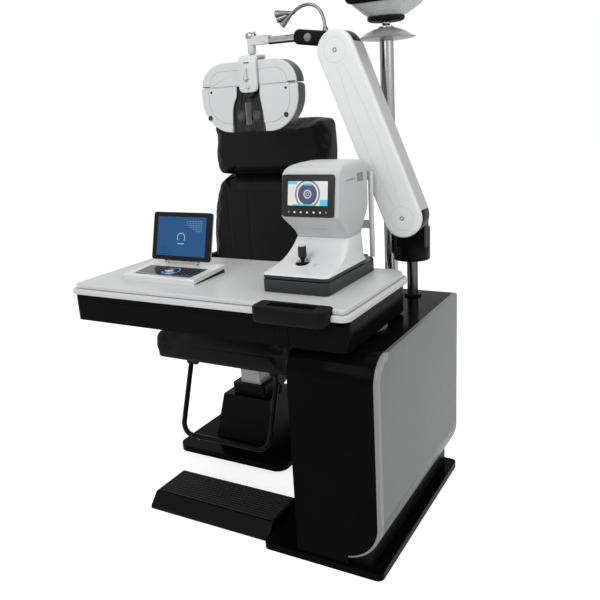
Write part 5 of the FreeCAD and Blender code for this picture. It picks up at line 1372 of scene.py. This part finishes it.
@dataclass
class PhoropterArm:
    """Front cover, hubs, level link with its knob, sliding bar with its elbow, and the lamp."""

    shop: Workshop
    pivot: Flat = ARM_PIVOT
    length: float = ARM_LENGTH
    lean: float = ARM_LEAN
    round_end: float = 62.0
    front: float = 130.0
    link_tilt: float = -8.5
    goose: tuple[Point, ...] = ((-177.0, ARM_LINE, 1540.6), (-177.5, ARM_LINE, 1552.0), (-181.0, ARM_LINE, 1572.0),
                                (-188.0, ARM_LINE, 1592.0), (-205.0, ARM_LINE, 1612.0), (-230.0, ARM_LINE, 1621.5),
                                (-254.0, ARM_LINE, 1620.0), (-273.0, ARM_LINE, 1613.5), (-290.0, ARM_LINE, 1603.0))

    def high(self) -> Flat:
        """The upper pivot in the front plane."""
        turn = math.radians(self.lean)
        return (self.pivot[0] - self.length * math.sin(turn), self.pivot[1] + self.length * math.cos(turn))

    def build(self) -> None:
        """Build the cover, the link, the bar and the lamp."""
        self.build_cover()
        self.build_link()
        self.build_bar()
        self.build_lamp()

    def build_cover(self) -> None:
        """The white front cover with a pillowed rim, and the screws on its pivots."""
        turn = math.radians(self.lean)
        outline: list[Flat] = []
        for hub, start in ((self.high(), 0.0), (self.pivot, math.pi)):
            for step in range(33):
                angle = start + math.pi * step / 32 + turn
                outline.append((hub[0] + self.round_end * math.cos(angle), hub[1] + self.round_end * math.sin(angle)))
        cover = slab(Plane.FRONT, outline, self.front, self.front + 15.0, 0.0, 6, 7.0)
        self.shop.add("arm_front_cover", cover, Finish.ARM_WHITE, Home("arm", "arm_white"), ["arm_cover_front"])
        screws = []
        for hub in (self.high(), self.pivot):
            screws.append(lathe([(0.0, -0.6), (2.6, -0.6), (3.0, 1.0), (6.6, 1.3), (7.6, 0.2), (7.6, -1.0)],
                                (hub[0], self.front, hub[1]), (0, -1, 0), 28))
        self.shop.add("arm_pivot_screws", joined(screws), Finish.NOSE, Home("arm", "arm_steel"))

    def build_link(self) -> None:
        """The black link: round hub, capsule body, neck socket and faceted knob."""
        home = Home("arm_head", "arm_black")
        x, z = self.high()
        tilt = Matrix.Rotation(math.radians(self.link_tilt), 2)
        start = Vector((-262.0, 1527.0))
        body = [tuple(start + tilt @ (Vector(spot) - start))
                for spot in box_outline((-284.0, 1503.5), (x + 6, 1550.5), (20.0, 4.0, 4.0, 20.0), 10)]
        bore = lathe([(0.0, 0.0), (12.5, 0.0), (12.5, 128.0), (0.0, 128.0)], (-302.0, ARM_LINE, 1527.0), (1, 0, 0), 32)
        link = carved(slab(Plane.FRONT, body, 160.0, 206.0, 11.0, 6, 11.0), bore)
        hub = lathe([(0.0, 217.0), (52.0, 217.0), (58.0, 214.0), (60.0, 208.0), (60.0, 145.8), (0.0, 145.8)],
                    (x, 0.0, z), (0, 1, 0), 64)
        self.shop.add("link_body", joined([link, hub]), Finish.ARM_BLACK, home, ["head_link"])
        knob = lathe([(0.0, 12.0), (5.0, 12.0), (7.0, 10.0), (12.4, 7.5), (13.4, 2.0), (9.0, 0.0)],
                     (-227.0, 160.8, 1522.0), (0, -1, 0), 8)
        self.shop.add("link_knob", knob, Finish.KNOB, home)

    def build_bar(self) -> None:
        """The chromed bar, the pale elbow on the rod, the rod's collar and its cap with two lobes."""
        home = Home("hanger", "bar_steel")
        bar = lathe([(0.0, 0.0), (11.0, 0.0), (12.0, 1.0), (12.0, 159.0), (11.0, 160.0), (0.0, 160.0)],
                    (-385.0, ARM_LINE, 1527.0), (1, 0, 0))
        self.shop.add("bar_tube", bar, Finish.BAR, home, ["phoropter_bar"])
        block = slab(Plane.FRONT, box_outline((-458.0, 1517.0), (-383.0, 1545.5), (3.0, 2.0, 2.0, 3.0), 5),
                     171.0, 199.0, 3.0, 4, 3.0)
        sleeve = lathe([(9.6, 0.0), (13.0, 0.0), (14.0, 1.2), (14.0, 53.0), (13.0, 54.0), (9.6, 54.0)],
                       (HANGER_X, ARM_LINE, 1491.0), (0, 0, 1))
        self.shop.add("bar_elbow", joined([block, sleeve]), Finish.ELBOW, home)
        lobes = [lathe([(0.0, 8.0), (5.0, 8.0), (8.2, 6.6), (9.0, 4.0), (8.2, 1.4), (5.0, 0.0), (0.0, 0.0)],
                       (HANGER_X + shift, ARM_LINE, 1553.0), (0, 0, 1), 28) for shift in (-8.5, 8.5)]
        self.shop.add("rod_cap_lobes", joined(lobes), Finish.LEVER, Home("phoropter", "bar_steel"))

    def build_lamp(self) -> None:
        """The thin gooseneck and three slim cones with lens faces."""
        home = Home("arm_head", "lamp_chrome")
        path = smooth_path(self.goose, 10)
        rings = [(5.2 if step % 2 else 4.8) for step in range(len(path))]
        neck = tube(path, lambda share: rings[min(int(share * (len(path) - 1)), len(path) - 1)], 16)
        socket = lathe([(9.0, 0.0), (9.0, 5.0), (7.0, 8.0), (5.4, 11.0), (5.4, 0.0)], (-177.0, ARM_LINE, 1539.6))
        self.shop.add("lamp_neck", joined([neck, socket]), Finish.CHROME, home, ["lamp_gooseneck"])
        tip = Vector(self.goose[-1])
        cones, faces = [], []
        targets = ((-353.0, ARM_LINE, 1606.0), (-349.0, ARM_LINE, 1588.0), (-333.0, ARM_LINE, 1570.0))
        for number, target in enumerate(targets):
            start = tip + Vector((0.0, (-4.0, 4.0, -4.0)[number], 0.0))
            way = Vector(target) - start
            long = way.length
            cones.append(lathe([(0.0, -4.0), (4.0, -3.0), (5.0, 4.0), (6.2, 16.0), (9.0, long - 18), (10.2, long - 9),
                                (9.4, long - 8), (10.6, long - 6), (10.6, long), (9.2, long), (8.4, long - 2.5),
                                (0.0, long - 2.5)], tuple(start), tuple(way), 28))
            spot = start + way * ((long - 2.2) / long)
            faces.append(lathe([(0.0, 0.6), (6.0, 0.3), (8.3, 0.0), (8.3, -0.4)], tuple(spot), tuple(way), 24))
        self.shop.add("lamp_cones", joined(cones), Finish.CHROME, home, ["lamp_head"])
        self.shop.add("lamp_lenses", joined(faces), Finish.LENS_RING, home)


@dataclass
class Refractor:
    """Stage with its flared neck, domed head, screen picture, joystick and boot."""

    shop: Workshop
    middle: float = REFRACTOR_MIDDLE
    stick: Flat = (-112.5, -161.0)
    stage_rings: tuple[tuple[float, float, float, float, float], ...] = (
        (850.6, 107.2, -254.8, 20.0, 16.0), (851.4, 108.4, -256.0, 21.0, 17.0), (853.2, 107.8, -254.6, 21.0, 18.0),
        (855.0, 106.8, -249.0, 21.5, 19.0), (857.0, 105.6, -238.0, 22.0, 20.0), (859.4, 104.4, -220.0, 22.0, 20.0),
        (862.4, 103.0, -199.0, 22.5, 20.0), (866.4, 101.6, -177.0, 23.5, 20.0), (873.0, 99.8, -152.0, 25.0, 20.0),
        (884.0, 97.4, -127.0, 28.0, 20.0), (900.0, 94.4, -103.0, 32.0, 20.0), (915.0, 91.4, -87.0, 36.0, 20.0),
        (928.4, 88.6, -77.0, 39.0, 20.0), (929.8, 87.6, -75.4, 38.0, 20.0))
    skirt_rings: tuple[tuple[float, float, float, float, float], ...] = (
        (840.8, 106.0, -253.6, 19.0, 15.0), (841.8, 107.0, -254.6, 20.0, 16.0), (850.2, 107.0, -254.6, 20.0, 16.0))
    head_rings: tuple[tuple[float, float, float, float, float], ...] = (
        (930.4, 87.6, -75.4, 38.0, 20.0), (931.8, 88.5, -76.4, 39.5, 20.0), (946.0, 89.2, -84.5, 47.0, 20.0),
        (964.0, 90.4, -105.0, 57.0, 20.0), (984.0, 92.4, -130.0, 66.0, 18.0), (996.0, 94.2, -143.5, 70.5, 16.0),
        (1003.0, 95.0, -148.0, 72.5, 15.0), (1010.0, 95.0, -147.6, 74.0, 14.0), (1020.0, 95.0, -146.0, 75.8, 14.0),
        (1060.0, 95.0, -139.5, 75.8, 14.0), (1116.0, 95.0, -131.0, 75.8, 14.0), (1128.0, 94.6, -128.4, 75.6, 15.0),
        (1136.0, 93.4, -122.0, 74.6, 18.0), (1143.0, 90.6, -108.0, 72.0, 22.0), (1147.6, 86.4, -88.0, 66.0, 26.0),
        (1150.2, 80.0, -60.0, 56.0, 28.0), (1151.2, 72.0, -30.0, 44.0, 26.0))

    def skin(self, rings: Sequence[tuple[float, float, float, float, float]]) -> bpy.types.Mesh:
        """A closed skin over levels given as height, half width, front, back and corner."""
        return loft([round_box_ring((self.middle, (front + back) / 2), (half, (back - front) / 2), corner, level)
                     for level, half, front, back, corner in rings], True, 30.0)

    def build(self) -> None:
        """Build the stage, the head, the screen and the joystick."""
        light = Home("stage", "device_light")
        hole = lathe([(0.0, 0.0), (14.4, 0.0), (14.4, 58.0), (22.0, 58.0), (22.0, 120.0), (0.0, 120.0)],
                     (*self.stick, 800.0), (0, 0, 1), 40)
        stage = carved(self.skin(self.stage_rings), hole)
        shaft = lathe([(0.0, 0.0), (14.4, 0.0), (14.4, 60.0), (0.0, 60.0)], (*self.stick, 800.0), (0, 0, 1), 40)
        self.shop.add("stage_skirt", carved(self.skin(self.skirt_rings), shaft), Finish.DEVICE_DARK,
                      Home("stage", "device_dark"))
        # The stage cover takes the lighter copy of the shell grey, painted light.
        self.shop.add("stage_cover", stage, Finish.STAGE_PAINTED_LIGHTER, light, ["ar_stage_cover"])
        self.shop.add("head_shell", self.skin(self.head_rings), Finish.DEVICE_LIGHT,
                      Home("refractor_head", "device_light"), ["ar_head_shell"])
        self.build_foot()
        self.build_screen()
        self.build_stick()

    def build_foot(self) -> None:
        """The dark foot on the table, hollowed where the carriage slides."""
        outline = box_outline((self.middle - 108, -256.0), (self.middle + 108, 112.0), (17.0, 17.0, 56.0, 56.0), 12)
        room = slab(Plane.FLOOR, box_outline((-198.0, -186.0), (13.0, -4.0), (0.0,), 1), 825.6, 850.0)
        foot = carved(slab(Plane.FLOOR, outline, 800.2, 838.0, 3.0, 3, 2.0), room)
        self.shop.add("refractor_foot", foot, Finish.DEVICE_DARK, Home("table", "device_dark"), ["ar_base"])

    def build_screen(self) -> None:
        """The bright picture, set in the bezel."""
        tilt = Matrix.Rotation(-math.radians(SCREEN_LEAN), 4, "X")
        lean = Matrix.Translation(Vector((self.middle, -149.0, 1004.0))) @ tilt
        picture = slab(Plane.FRONT, box_outline((-65.0, 33.0), (65.0, 103.0), (1.5,), 4), -8.25, -6.0)
        self.shop.add("refractor_picture", moved(picture, lean), Finish.EYE_SCREEN,
                      Home("refractor_head", "device_screen"))

    def build_stick(self) -> None:
        """The stick with its grip and light cap, and the dark dish round it."""
        foot = (*self.stick, 0.0)
        stick = lathe([(0.0, 849.6), (5.8, 849.6), (5.8, 852.0), (5.0, 855.0), (5.6, 873.0), (6.4, 880.0),
                       (10.0, 886.0), (12.6, 890.0), (13.0, 894.0), (12.6, 904.0), (12.4, 916.0), (11.4, 919.6),
                       (8.7, 920.0), (8.7, 913.5), (0.0, 913.5)], foot)
        self.shop.add("stick_grip", stick, Finish.STICK, Home("stick", "stick_black"), ["joystick"])
        cap = lathe([(0.0, 917.3), (8.4, 917.3), (8.4, 923.4), (7.6, 924.8), (5.0, 925.2), (0.0, 925.2)], foot)
        self.shop.add("stick_cap", cap, Finish.BUTTON, Home("button", "button_light"), ["joystick_button"])
        dish = lathe([(10.4, 854.8), (10.4, 858.8), (12.0, 861.0), (17.0, 864.0), (20.6, 867.0), (21.6, 867.0),
                      (21.6, 858.6), (13.8, 858.6), (13.8, 854.8)], foot)
        self.shop.add("stick_dish", dish, Finish.BLACK_AND_SHADE, Home("stage", "boot_rubber"), ["joystick_boot"])


@dataclass
class ControlPanel:
    """Keypad glass, dial, side slot, tablet rim and hinge bar of the control panel."""

    shop: Workshop
    dial: Flat = (-583.0, -203.0)

    def build(self) -> None:
        """Build the keypad, the dial, the slot and the tablet's trim."""
        home = Home("table", "panel_white")
        low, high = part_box("panel_base")
        left, right, front, back = low[0] / MM, high[0] / MM, low[1] / MM, high[1] / MM
        slope = math.atan2(10.0, back - front)
        lean = Matrix.Translation(Vector((0.0, front, 820.0))) @ Matrix.Rotation(slope, 4, "X")
        outline = [(-699.0, 22.4), (-467.0, 22.4), (-467.0, 114.0), (-699.0, 114.0)]
        hub = (self.dial[0], (self.dial[1] - front) / math.cos(slope))
        pad = slab(Plane.FLOOR, rounded(outline, (16.0, 16.0, 3.0, 3.0), 6), -1.3, 0.1, 0.3, 2, 0.0)
        hole = lathe([(0.0, -6.0), (18.5, -6.0), (18.5, 8.0), (0.0, 8.0)], (hub[0], hub[1], 0.0), (0, 0, 1), 48)
        self.shop.add("keypad_glass", moved(carved(pad, hole), lean), Finish.KEYPAD, home)
        dial = lathe([(0.0, 820.4), (17.8, 820.4), (17.8, 827.0), (17.0, 830.0), (15.4, 831.0), (13.0, 830.6),
                      (11.0, 829.6), (0.0, 829.2)], (*self.dial, 0.0), (0, 0, 1), 56)
        self.shop.add("dial_knob", dial, Finish.DIAL, Home("dial", "dial_silver"), ["panel_dial"])
        side = [(front + 8, 804.0), (back - 6, 806.0), (back - 6, 818.0), (front + 10, 808.0)]
        groove = slab(Plane.SIDE, rounded(side, (1.5, 1.5, 1.5, 1.5), 3), right - 0.6, right + 0.25)
        mirror = slab(Plane.SIDE, rounded(side, (1.5, 1.5, 1.5, 1.5), 3), left - 0.25, left + 0.6)
        self.shop.add("panel_side_slots", joined([groove, mirror]), Finish.SLOT, home)
        self.build_tablet()

    def build_tablet(self) -> None:
        """The tablet's silver back edge and its hinge bar."""
        tilt = Matrix.Rotation(-math.radians(TABLET_LEAN), 4, "X")
        lean = Matrix.Translation(Vector((-593.5, -126.0, 835.0))) @ tilt
        outer = box_outline((-119.4, 5.2), (119.4, 165.4), (10.4,), 8)
        rim = slab(Plane.FRONT, outer, -5.2, 0.3, 2.4, 3, 0.0)
        self.shop.add("tablet_rim", moved(rim, lean), Finish.TABLET_RIM, Home("screen", "tablet_silver"))
        barrels = [lathe([(0.0, 0.0), (5.0, 0.0), (6.0, 1.0), (6.0, long - 1), (5.0, long), (0.0, long)],
                         (left, -126.0, 837.0), (1, 0, 0), 32)
                   for left, long in ((-645.5, 104.0), (-664.0, 8.0), (-531.0, 8.0))]
        self.shop.add("tablet_hinge", joined(barrels), Finish.TABLET_RIM, Home("table", "panel_white"))


@dataclass
class ProjectorUnit:
    """The projector's bowl-shaped body, stepped foot and dark front visor."""

    shop: Workshop
    middle: Flat = (-44.0, 367.0)
    foot: Flat = (-27.0, 322.0)

    def build(self) -> None:
        """Build the body, its foot ring and the visor."""
        home = Home("projector", "projector_white")
        levels = [(1573.6, 56.0, 0.0), (1576.0, 58.5, 0.02), (1581.0, 0.0, 0.12), (1590.0, 0.0, 0.29),
                  (1600.0, 0.0, 0.5), (1610.0, 0.0, 0.69), (1618.0, 0.0, 0.83), (1627.0, 0.0, 0.94),
                  (1634.0, 0.0, 1.0), (1650.0, 0.0, 1.0), (1700.0, 0.0, 0.97), (1718.0, 0.0, 0.93),
                  (1730.0, 0.0, 0.84), (1736.0, 0.0, 0.7), (1738.0, 0.0, 0.5)]
        rings = []
        for level, radius, share in levels:
            half = (60 + (88.5 - 60) * share, 60 + (138.0 - 60) * share)
            if radius:
                half = (radius, radius)
            centre = tuple(a + (b - a) * min(share, 1.0) for a, b in zip(self.foot, self.middle)) if level < 1640 \
                else self.middle
            rings.append(round_box_ring(centre, half, 58.0 - 30.0 * share if share < 0.9 else 30.0, level, 10))
        body = loft(rings, True, 35.0)
        tray = lathe([(0.0, 1500.2), (23.0, 1500.2), (44.0, 1501.8), (70.0, 1504.6), (88.0, 1507.2), (93.2, 1508.8),
                      (94.0, 1509.6), (93.2, 1510.6), (83.0, 1513.4), (80.0, 1516.0), (64.0, 1526.8), (44.0, 1535.4),
                      (28.0, 1539.4), (0.0, 1539.8)], (*self.foot, 0.0), (0, 0, 1), 72)
        self.shop.add("chart_dish", tray, Finish.TRAY, Home("stand", "tray_silver"), ["chart_tray"])
        socket = lathe([(0.0, -15.0), (8.0, -13.0), (13.0, -8.0), (15.3, 0.0), (15.3, 4.0), (13.0, 9.0), (8.0, 13.5),
                        (0.0, 15.3)], (*self.foot, 1556.0), (0, 0, 1), 40)
        foot = lathe([(0.0, 1559.0), (50.0, 1559.0), (57.0, 1562.0), (60.0, 1566.0), (60.0, 1573.5), (0.0, 1573.5)],
                     (*self.foot, 0.0), (0, 0, 1), 56)
        self.shop.add("projector_shell", body, Finish.PROJECTOR, home, ["projector_body"])
        self.shop.add("projector_foot", carved(foot, socket), Finish.BLACK_AND_SHADE, home)
        visor = box_outline((-130.0, 1612.0), (40.0, 1736.0), (22.0, 16.0, 20.0, 20.0), 10)
        face = slab(Plane.FRONT, visor, 227.5, 240.0, 0.0, 5, 7.0)
        self.shop.add("projector_visor", face, Finish.VISOR, home)
        lens = lathe([(0.0, 2.0), (14.0, 3.0), (22.0, 6.0), (26.0, 6.0), (27.0, 0.0)], (-40.0, 229.0, 1678.0),
                     (0, -1, 0))
        self.shop.add("projector_lens", lens, Finish.LENS_RING, home)


@dataclass
class TableTrim:
    """The white two-tier slab with its groove, and the grab tray at its front."""

    shop: Workshop
    low: Flat = (-877.5, -371.0)
    high: Flat = (128.5, 119.0)
    tray_low: Flat = (-147.5, -411.0)
    tray_high: Flat = (77.5, -341.0)

    def tier(self, draw: float, radii: Sequence[float], low: float, high: float, soft: float,
             soft_low: float) -> bpy.types.Mesh:
        """One tier of the slab.

        Args:
            draw: How far it stands in from the slab's edge.
            radii: Its corners' radii.
            low: Its underside.
            high: Its top.
            soft: The round of its upper edge.
            soft_low: The round of its lower edge.

        Returns:
            The mesh, notched for the tray.
        """
        outline = box_outline((self.low[0] + draw, self.low[1] + draw), (self.high[0] - draw, self.high[1] - draw),
                              radii, 12)
        notch = slab(Plane.FLOOR, box_outline((self.tray_low[0] - 0.8, -420.0), (self.tray_high[0] + 0.8, -340.4),
                                              (0.0, 0.0, 14.0, 14.0), 6), 760.0, 806.0)
        return carved(slab(Plane.FLOOR, outline, low, high, soft, 4, soft_low), notch)

    def build(self) -> None:
        """Build both tiers, a black sheet of painted shade in the groove between them, and the tray."""
        home = Home("table", "table_white")
        rim = self.tier(0.0, (34.0, 27.0, 70.0, 27.0), 768.2, 785.4, 6.5, 3.0)
        top = self.tier(13.0, (24.0, 15.0, 57.0, 15.0), 786.6, 800.0, 4.5, 1.2)
        self.shop.add("table_slab", joined([rim, top]), Finish.TABLE, home, ["table_top"])
        # Painted shade: a near-black sheet laid in the groove between the tiers, where shade falls.
        groove = self.tier(14.6, (22.0, 14.0, 56.0, 14.0), 785.0, 787.2, 0.0, 0.0)
        self.shop.add("table_groove_painted_shade", groove, Finish.BLACK_AND_SHADE, home)
        grab = Home("table", "handle_black")
        outline = box_outline(self.tray_low, self.tray_high, (20.0, 26.0, 13.0, 13.0), 10)
        well = slab(Plane.FLOOR, box_outline((-107.0, -392.0), (38.0, -360.0), (7.0,), 6), 776.0, 812.0, 0.0, 3, 3.0)
        tray = carved(slab(Plane.FLOOR, outline, 755.2, 805.0, 7.0, 5, 12.0), well)
        self.shop.add("grab_tray", tray, Finish.HANDLE, grab, ["handle_tray"])


@dataclass
class FloorTrim:
    """The chair plate's screw, the footrest's hinge boss and the footstep's ribbed tread."""

    shop: Workshop

    def build(self) -> None:
        """Build the screw, the boss, the mat in a darker black as painted shade between the ribs, and the ribs."""
        screw = lathe([(0.0, 5.0), (4.0, 4.8), (7.0, 3.0), (8.0, 0.0)], (-800.0, 120.0, 25.0), (0, 0, 1), 6)
        self.shop.add("plate_screw", screw, Finish.CHROME, Home("stand", "floor_steel"))
        boss = lathe([(0.0, 0.0), (40.0, 0.0), (40.0, 8.0), (37.0, 11.0), (0.0, 11.0)], (-403.4, 139.0, 362.0),
                     (1, 0, 0))
        self.shop.add("footrest_boss", boss, Finish.FRAME, Home("chair", "seat_casting"))
        home = Home("stand", "step_rubber")
        # Painted shade: the mat between the ribs is blacker than the rubber ribs, for the shade in the channels.
        mat = slab(Plane.FLOOR, box_outline((-669.5, -290.0), (-204.5, -149.0), (2.0,), 3), 50.0, 51.6)
        self.shop.add("tread_mat_painted_shade", mat, Finish.BLACK_AND_SHADE, home, ["footstep_tread"])
        pitch, broad = 12.0, 6.4
        fronts = [-289.0 + pitch * rib for rib in range(12)]
        ribs = [slab(Plane.FLOOR, box_outline((-669.0, front), (-205.0, front + broad), (0.8,), 2),
                     51.4, 54.0, 1.2, 3, 0.0) for front in fronts]
        self.shop.add("tread_ribs", joined(ribs), Finish.TREAD, home)


class Rest(Enum):
    """The side of a cushion that lies on its frame: axis number, and whether it is the high side."""

    BELOW = (2, False)
    BEHIND = (1, True)


@dataclass
class Cushion:
    """One pad, swelled by a cloth simulation from its CAD form, then sewn."""

    node: str
    body: str
    rest: Rest
    channels: tuple[tuple[int, float, float, float], ...]
    lanes: tuple[float, float]
    shrink: float = 5.0
    voxel: float = 7.0
    cap: float = 22.0
    pressure: float = 4.0
    sides: tuple[Flat, ...] = ()
    thing: bpy.types.Object | None = None
    start: list[Vector] = field(default_factory=list)

    def prepare(self) -> None:
        """Remesh the CAD form and draw it in a little."""
        mesh = self.blank() if self.sides else FRAME["nodes"][self.node].data.copy()
        self.thing = bpy.data.objects.new(self.node.replace("_cushion", "_pad"), mesh)
        bpy.context.scene.collection.objects.link(self.thing)
        remesh = self.thing.modifiers.new("remesh", "REMESH")
        remesh.mode, remesh.voxel_size = "VOXEL", self.voxel * MM
        self.bake()
        work = bmesh.new()
        work.from_mesh(self.thing.data)
        bmesh.ops.smooth_vert(work, verts=work.verts, factor=0.5, use_axis_x=True, use_axis_y=True, use_axis_z=True)
        work.normal_update()
        for corner in work.verts:
            corner.co -= corner.normal * self.shrink * MM
        work.to_mesh(self.thing.data)
        work.free()
        self.start = [corner.co.copy() for corner in self.thing.data.vertices]

    def blank(self) -> bpy.types.Mesh:
        """The pad's blank from half widths at heights: level across, with full round rims in front."""
        low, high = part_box(self.node)
        middle = (low[0] + high[0]) / 2 / MM
        spots = [(middle - half, level, 0.0) for half, level in self.sides]
        left = [tuple(spot)[:2] for spot in smooth_path(spots, 5)]
        outline = left + [(2 * middle - side, level) for side, level in reversed(left)]
        mesh = slab(Plane.FRONT, outline, low[1] / MM + 1, high[1] / MM, 10.0, 5, 16.0)
        mesh.transform(Matrix.Scale(MM, 4))
        return mesh

    def bake(self) -> None:
        """Apply the modifiers to the mesh."""
        state = bpy.context.evaluated_depsgraph_get()
        mesh = bpy.data.meshes.new_from_object(self.thing.evaluated_get(state))
        old = self.thing.data
        self.thing.modifiers.clear()
        self.thing.data = mesh
        if old.users == 0:
            bpy.data.meshes.remove(old)

    def add_cloth(self) -> None:
        """Set the cloth up, held where it lies on its frame."""
        axis, high = self.rest.value
        low_box, high_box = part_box(self.node)
        edge = high_box[axis] if high else low_box[axis]
        held = self.thing.vertex_groups.new(name="held")
        near = [number for number, spot in enumerate(self.start) if abs(spot[axis] - edge) < 0.022]
        held.add(near, 1.0, "REPLACE")
        cloth = self.thing.modifiers.new("cloth", "CLOTH")
        settings = cloth.settings
        settings.quality = 5
        settings.use_pressure = True
        settings.uniform_pressure_force = self.pressure
        settings.effector_weights.gravity = 0.0
        settings.vertex_group_mass = "held"
        settings.tension_stiffness = settings.compression_stiffness = 12.0
        settings.bending_stiffness = 0.6
        cloth.point_cache.frame_start, cloth.point_cache.frame_end = 1, 20

    def settle(self) -> None:
        """Take the cloth's result, cap its moves and keep it in the CAD solid's room."""
        if self.thing.modifiers:
            self.bake()
        low_box, high_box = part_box(self.node)
        axis, high = self.rest.value
        for corner, spot in zip(self.thing.data.vertices, self.start):
            move = corner.co - spot
            if move.length > self.cap * MM:
                move *= self.cap * MM / move.length
            place = spot + move
            for way in range(3):
                slack = 0.004 if way != axis else 0.006
                low = low_box[way] - (slack if not (way == axis and not high) else 0.0)
                top = high_box[way] + (slack if not (way == axis and high) else 0.0)
                place[way] = min(max(place[way], low), top)
            corner.co = place

    def sew(self) -> None:
        """Subdivide once and press the channels and seams in."""
        self.thing.modifiers.new("round", "SUBSURF").levels = 1
        self.bake()
        mesh = self.thing.data
        axis, high = self.rest.value
        low_box, high_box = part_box(self.node)
        normals = [corner.normal.copy() for corner in mesh.vertices]
        depth_of = high_box[axis] - low_box[axis]
        for corner, normal in zip(mesh.vertices, normals):
            place = corner.co / MM
            dip = 0.0
            away = (high_box[axis] - corner.co[axis]) if high else (corner.co[axis] - low_box[axis])
            if self.lanes[1] > 0 and away > 0.45 * depth_of:
                lane = (place.x - self.lanes[0]) / self.lanes[1]
                dip += 2.4 * math.exp(-((lane - round(lane)) * self.lanes[1] / 6.0) ** 2) \
                    if abs(lane) < 2.6 and abs(round(lane) * self.lanes[1]) > 1 else 0.0
            for way, where, width, depth in self.channels:
                dip += depth * math.exp(-((place[way] - where) / width) ** 2)
            corner.co = corner.co - normal * dip * MM
        mesh.update()


@dataclass
class Upholstery:
    """Seat, back and head cushions of the chair."""

    shop: Workshop
    cushions: tuple[Cushion, ...] = (
        Cushion("seat_cushion", "chair", Rest.BELOW, ((2, 452.0, 2.2, 1.6), (1, 170.0, 6.0, 2.0)), (CHAIR_MIDDLE, 0.0)),
        Cushion("backrest_cushion", "chair", Rest.BEHIND, ((1, PAD_SEAM, 2.2, 1.6),), (CHAIR_MIDDLE, 104.0), 1.5,
                sides=((236.0, 1052.4), (260.0, 1034.0), (286.0, 992.0), (306.0, 930.0), (318.0, 862.0),
                       (325.0, 810.0), (328.0, 750.0), (328.0, 690.0), (322.0, 620.0), (306.0, 556.0),
                       (286.0, 532.0), (262.0, 522.0))),
        Cushion("headrest_cushion", "chair", Rest.BEHIND, ((1, PAD_SEAM, 2.2, 1.6),), (CHAIR_MIDDLE, 0.0), 1.5,
                sides=((236.0, 1264.0), (250.0, 1258.0), (257.0, 1244.0), (259.0, 1225.0), (263.0, 1170.0),
                       (262.0, 1110.0), (252.0, 1070.0), (236.0, 1052.4))))

    def build(self) -> None:
        """Simulate all three at once and dress them."""
        for cushion in self.cushions:
            cushion.prepare()
        for cushion in self.cushions:
            cushion.add_cloth()
        scene = bpy.context.scene
        for frame in range(1, 21):
            scene.frame_set(frame)
        for cushion in self.cushions:
            cushion.settle()
            cushion.sew()
            self.dress(cushion)
        bpy.context.scene.frame_set(1)

    def dress(self, cushion: Cushion) -> None:
        """Give a cushion its leatherette and its place."""
        mesh = cushion.thing.data
        mesh.materials.clear()
        mesh.materials.append(self.shop.material(Finish.LEATHER))
        for face in mesh.polygons:
            face.use_smooth = True
        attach(cushion.thing, cushion.body)
        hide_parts(cushion.node)


def main() -> None:
    """Build every sub-assembly in order."""
    logging.basicConfig(level=logging.INFO, format="%(message)s")
    FRAME.update(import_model())
    scene = bpy.context.scene
    scene.view_settings.view_transform = "Standard"
    shop = Workshop()
    assemblies = [Stage(), Carried(shop), Phoropter(shop), PhoropterArm(shop), Refractor(shop), ControlPanel(shop),
                  ProjectorUnit(shop), TableTrim(shop), FloorTrim(shop), Upholstery(shop)]
    for assembly in assemblies:
        assembly.build()
        LOG.info("%s: built", type(assembly).__name__)
    bpy.context.view_layer.update()


if __name__ == "__main__":
    main()
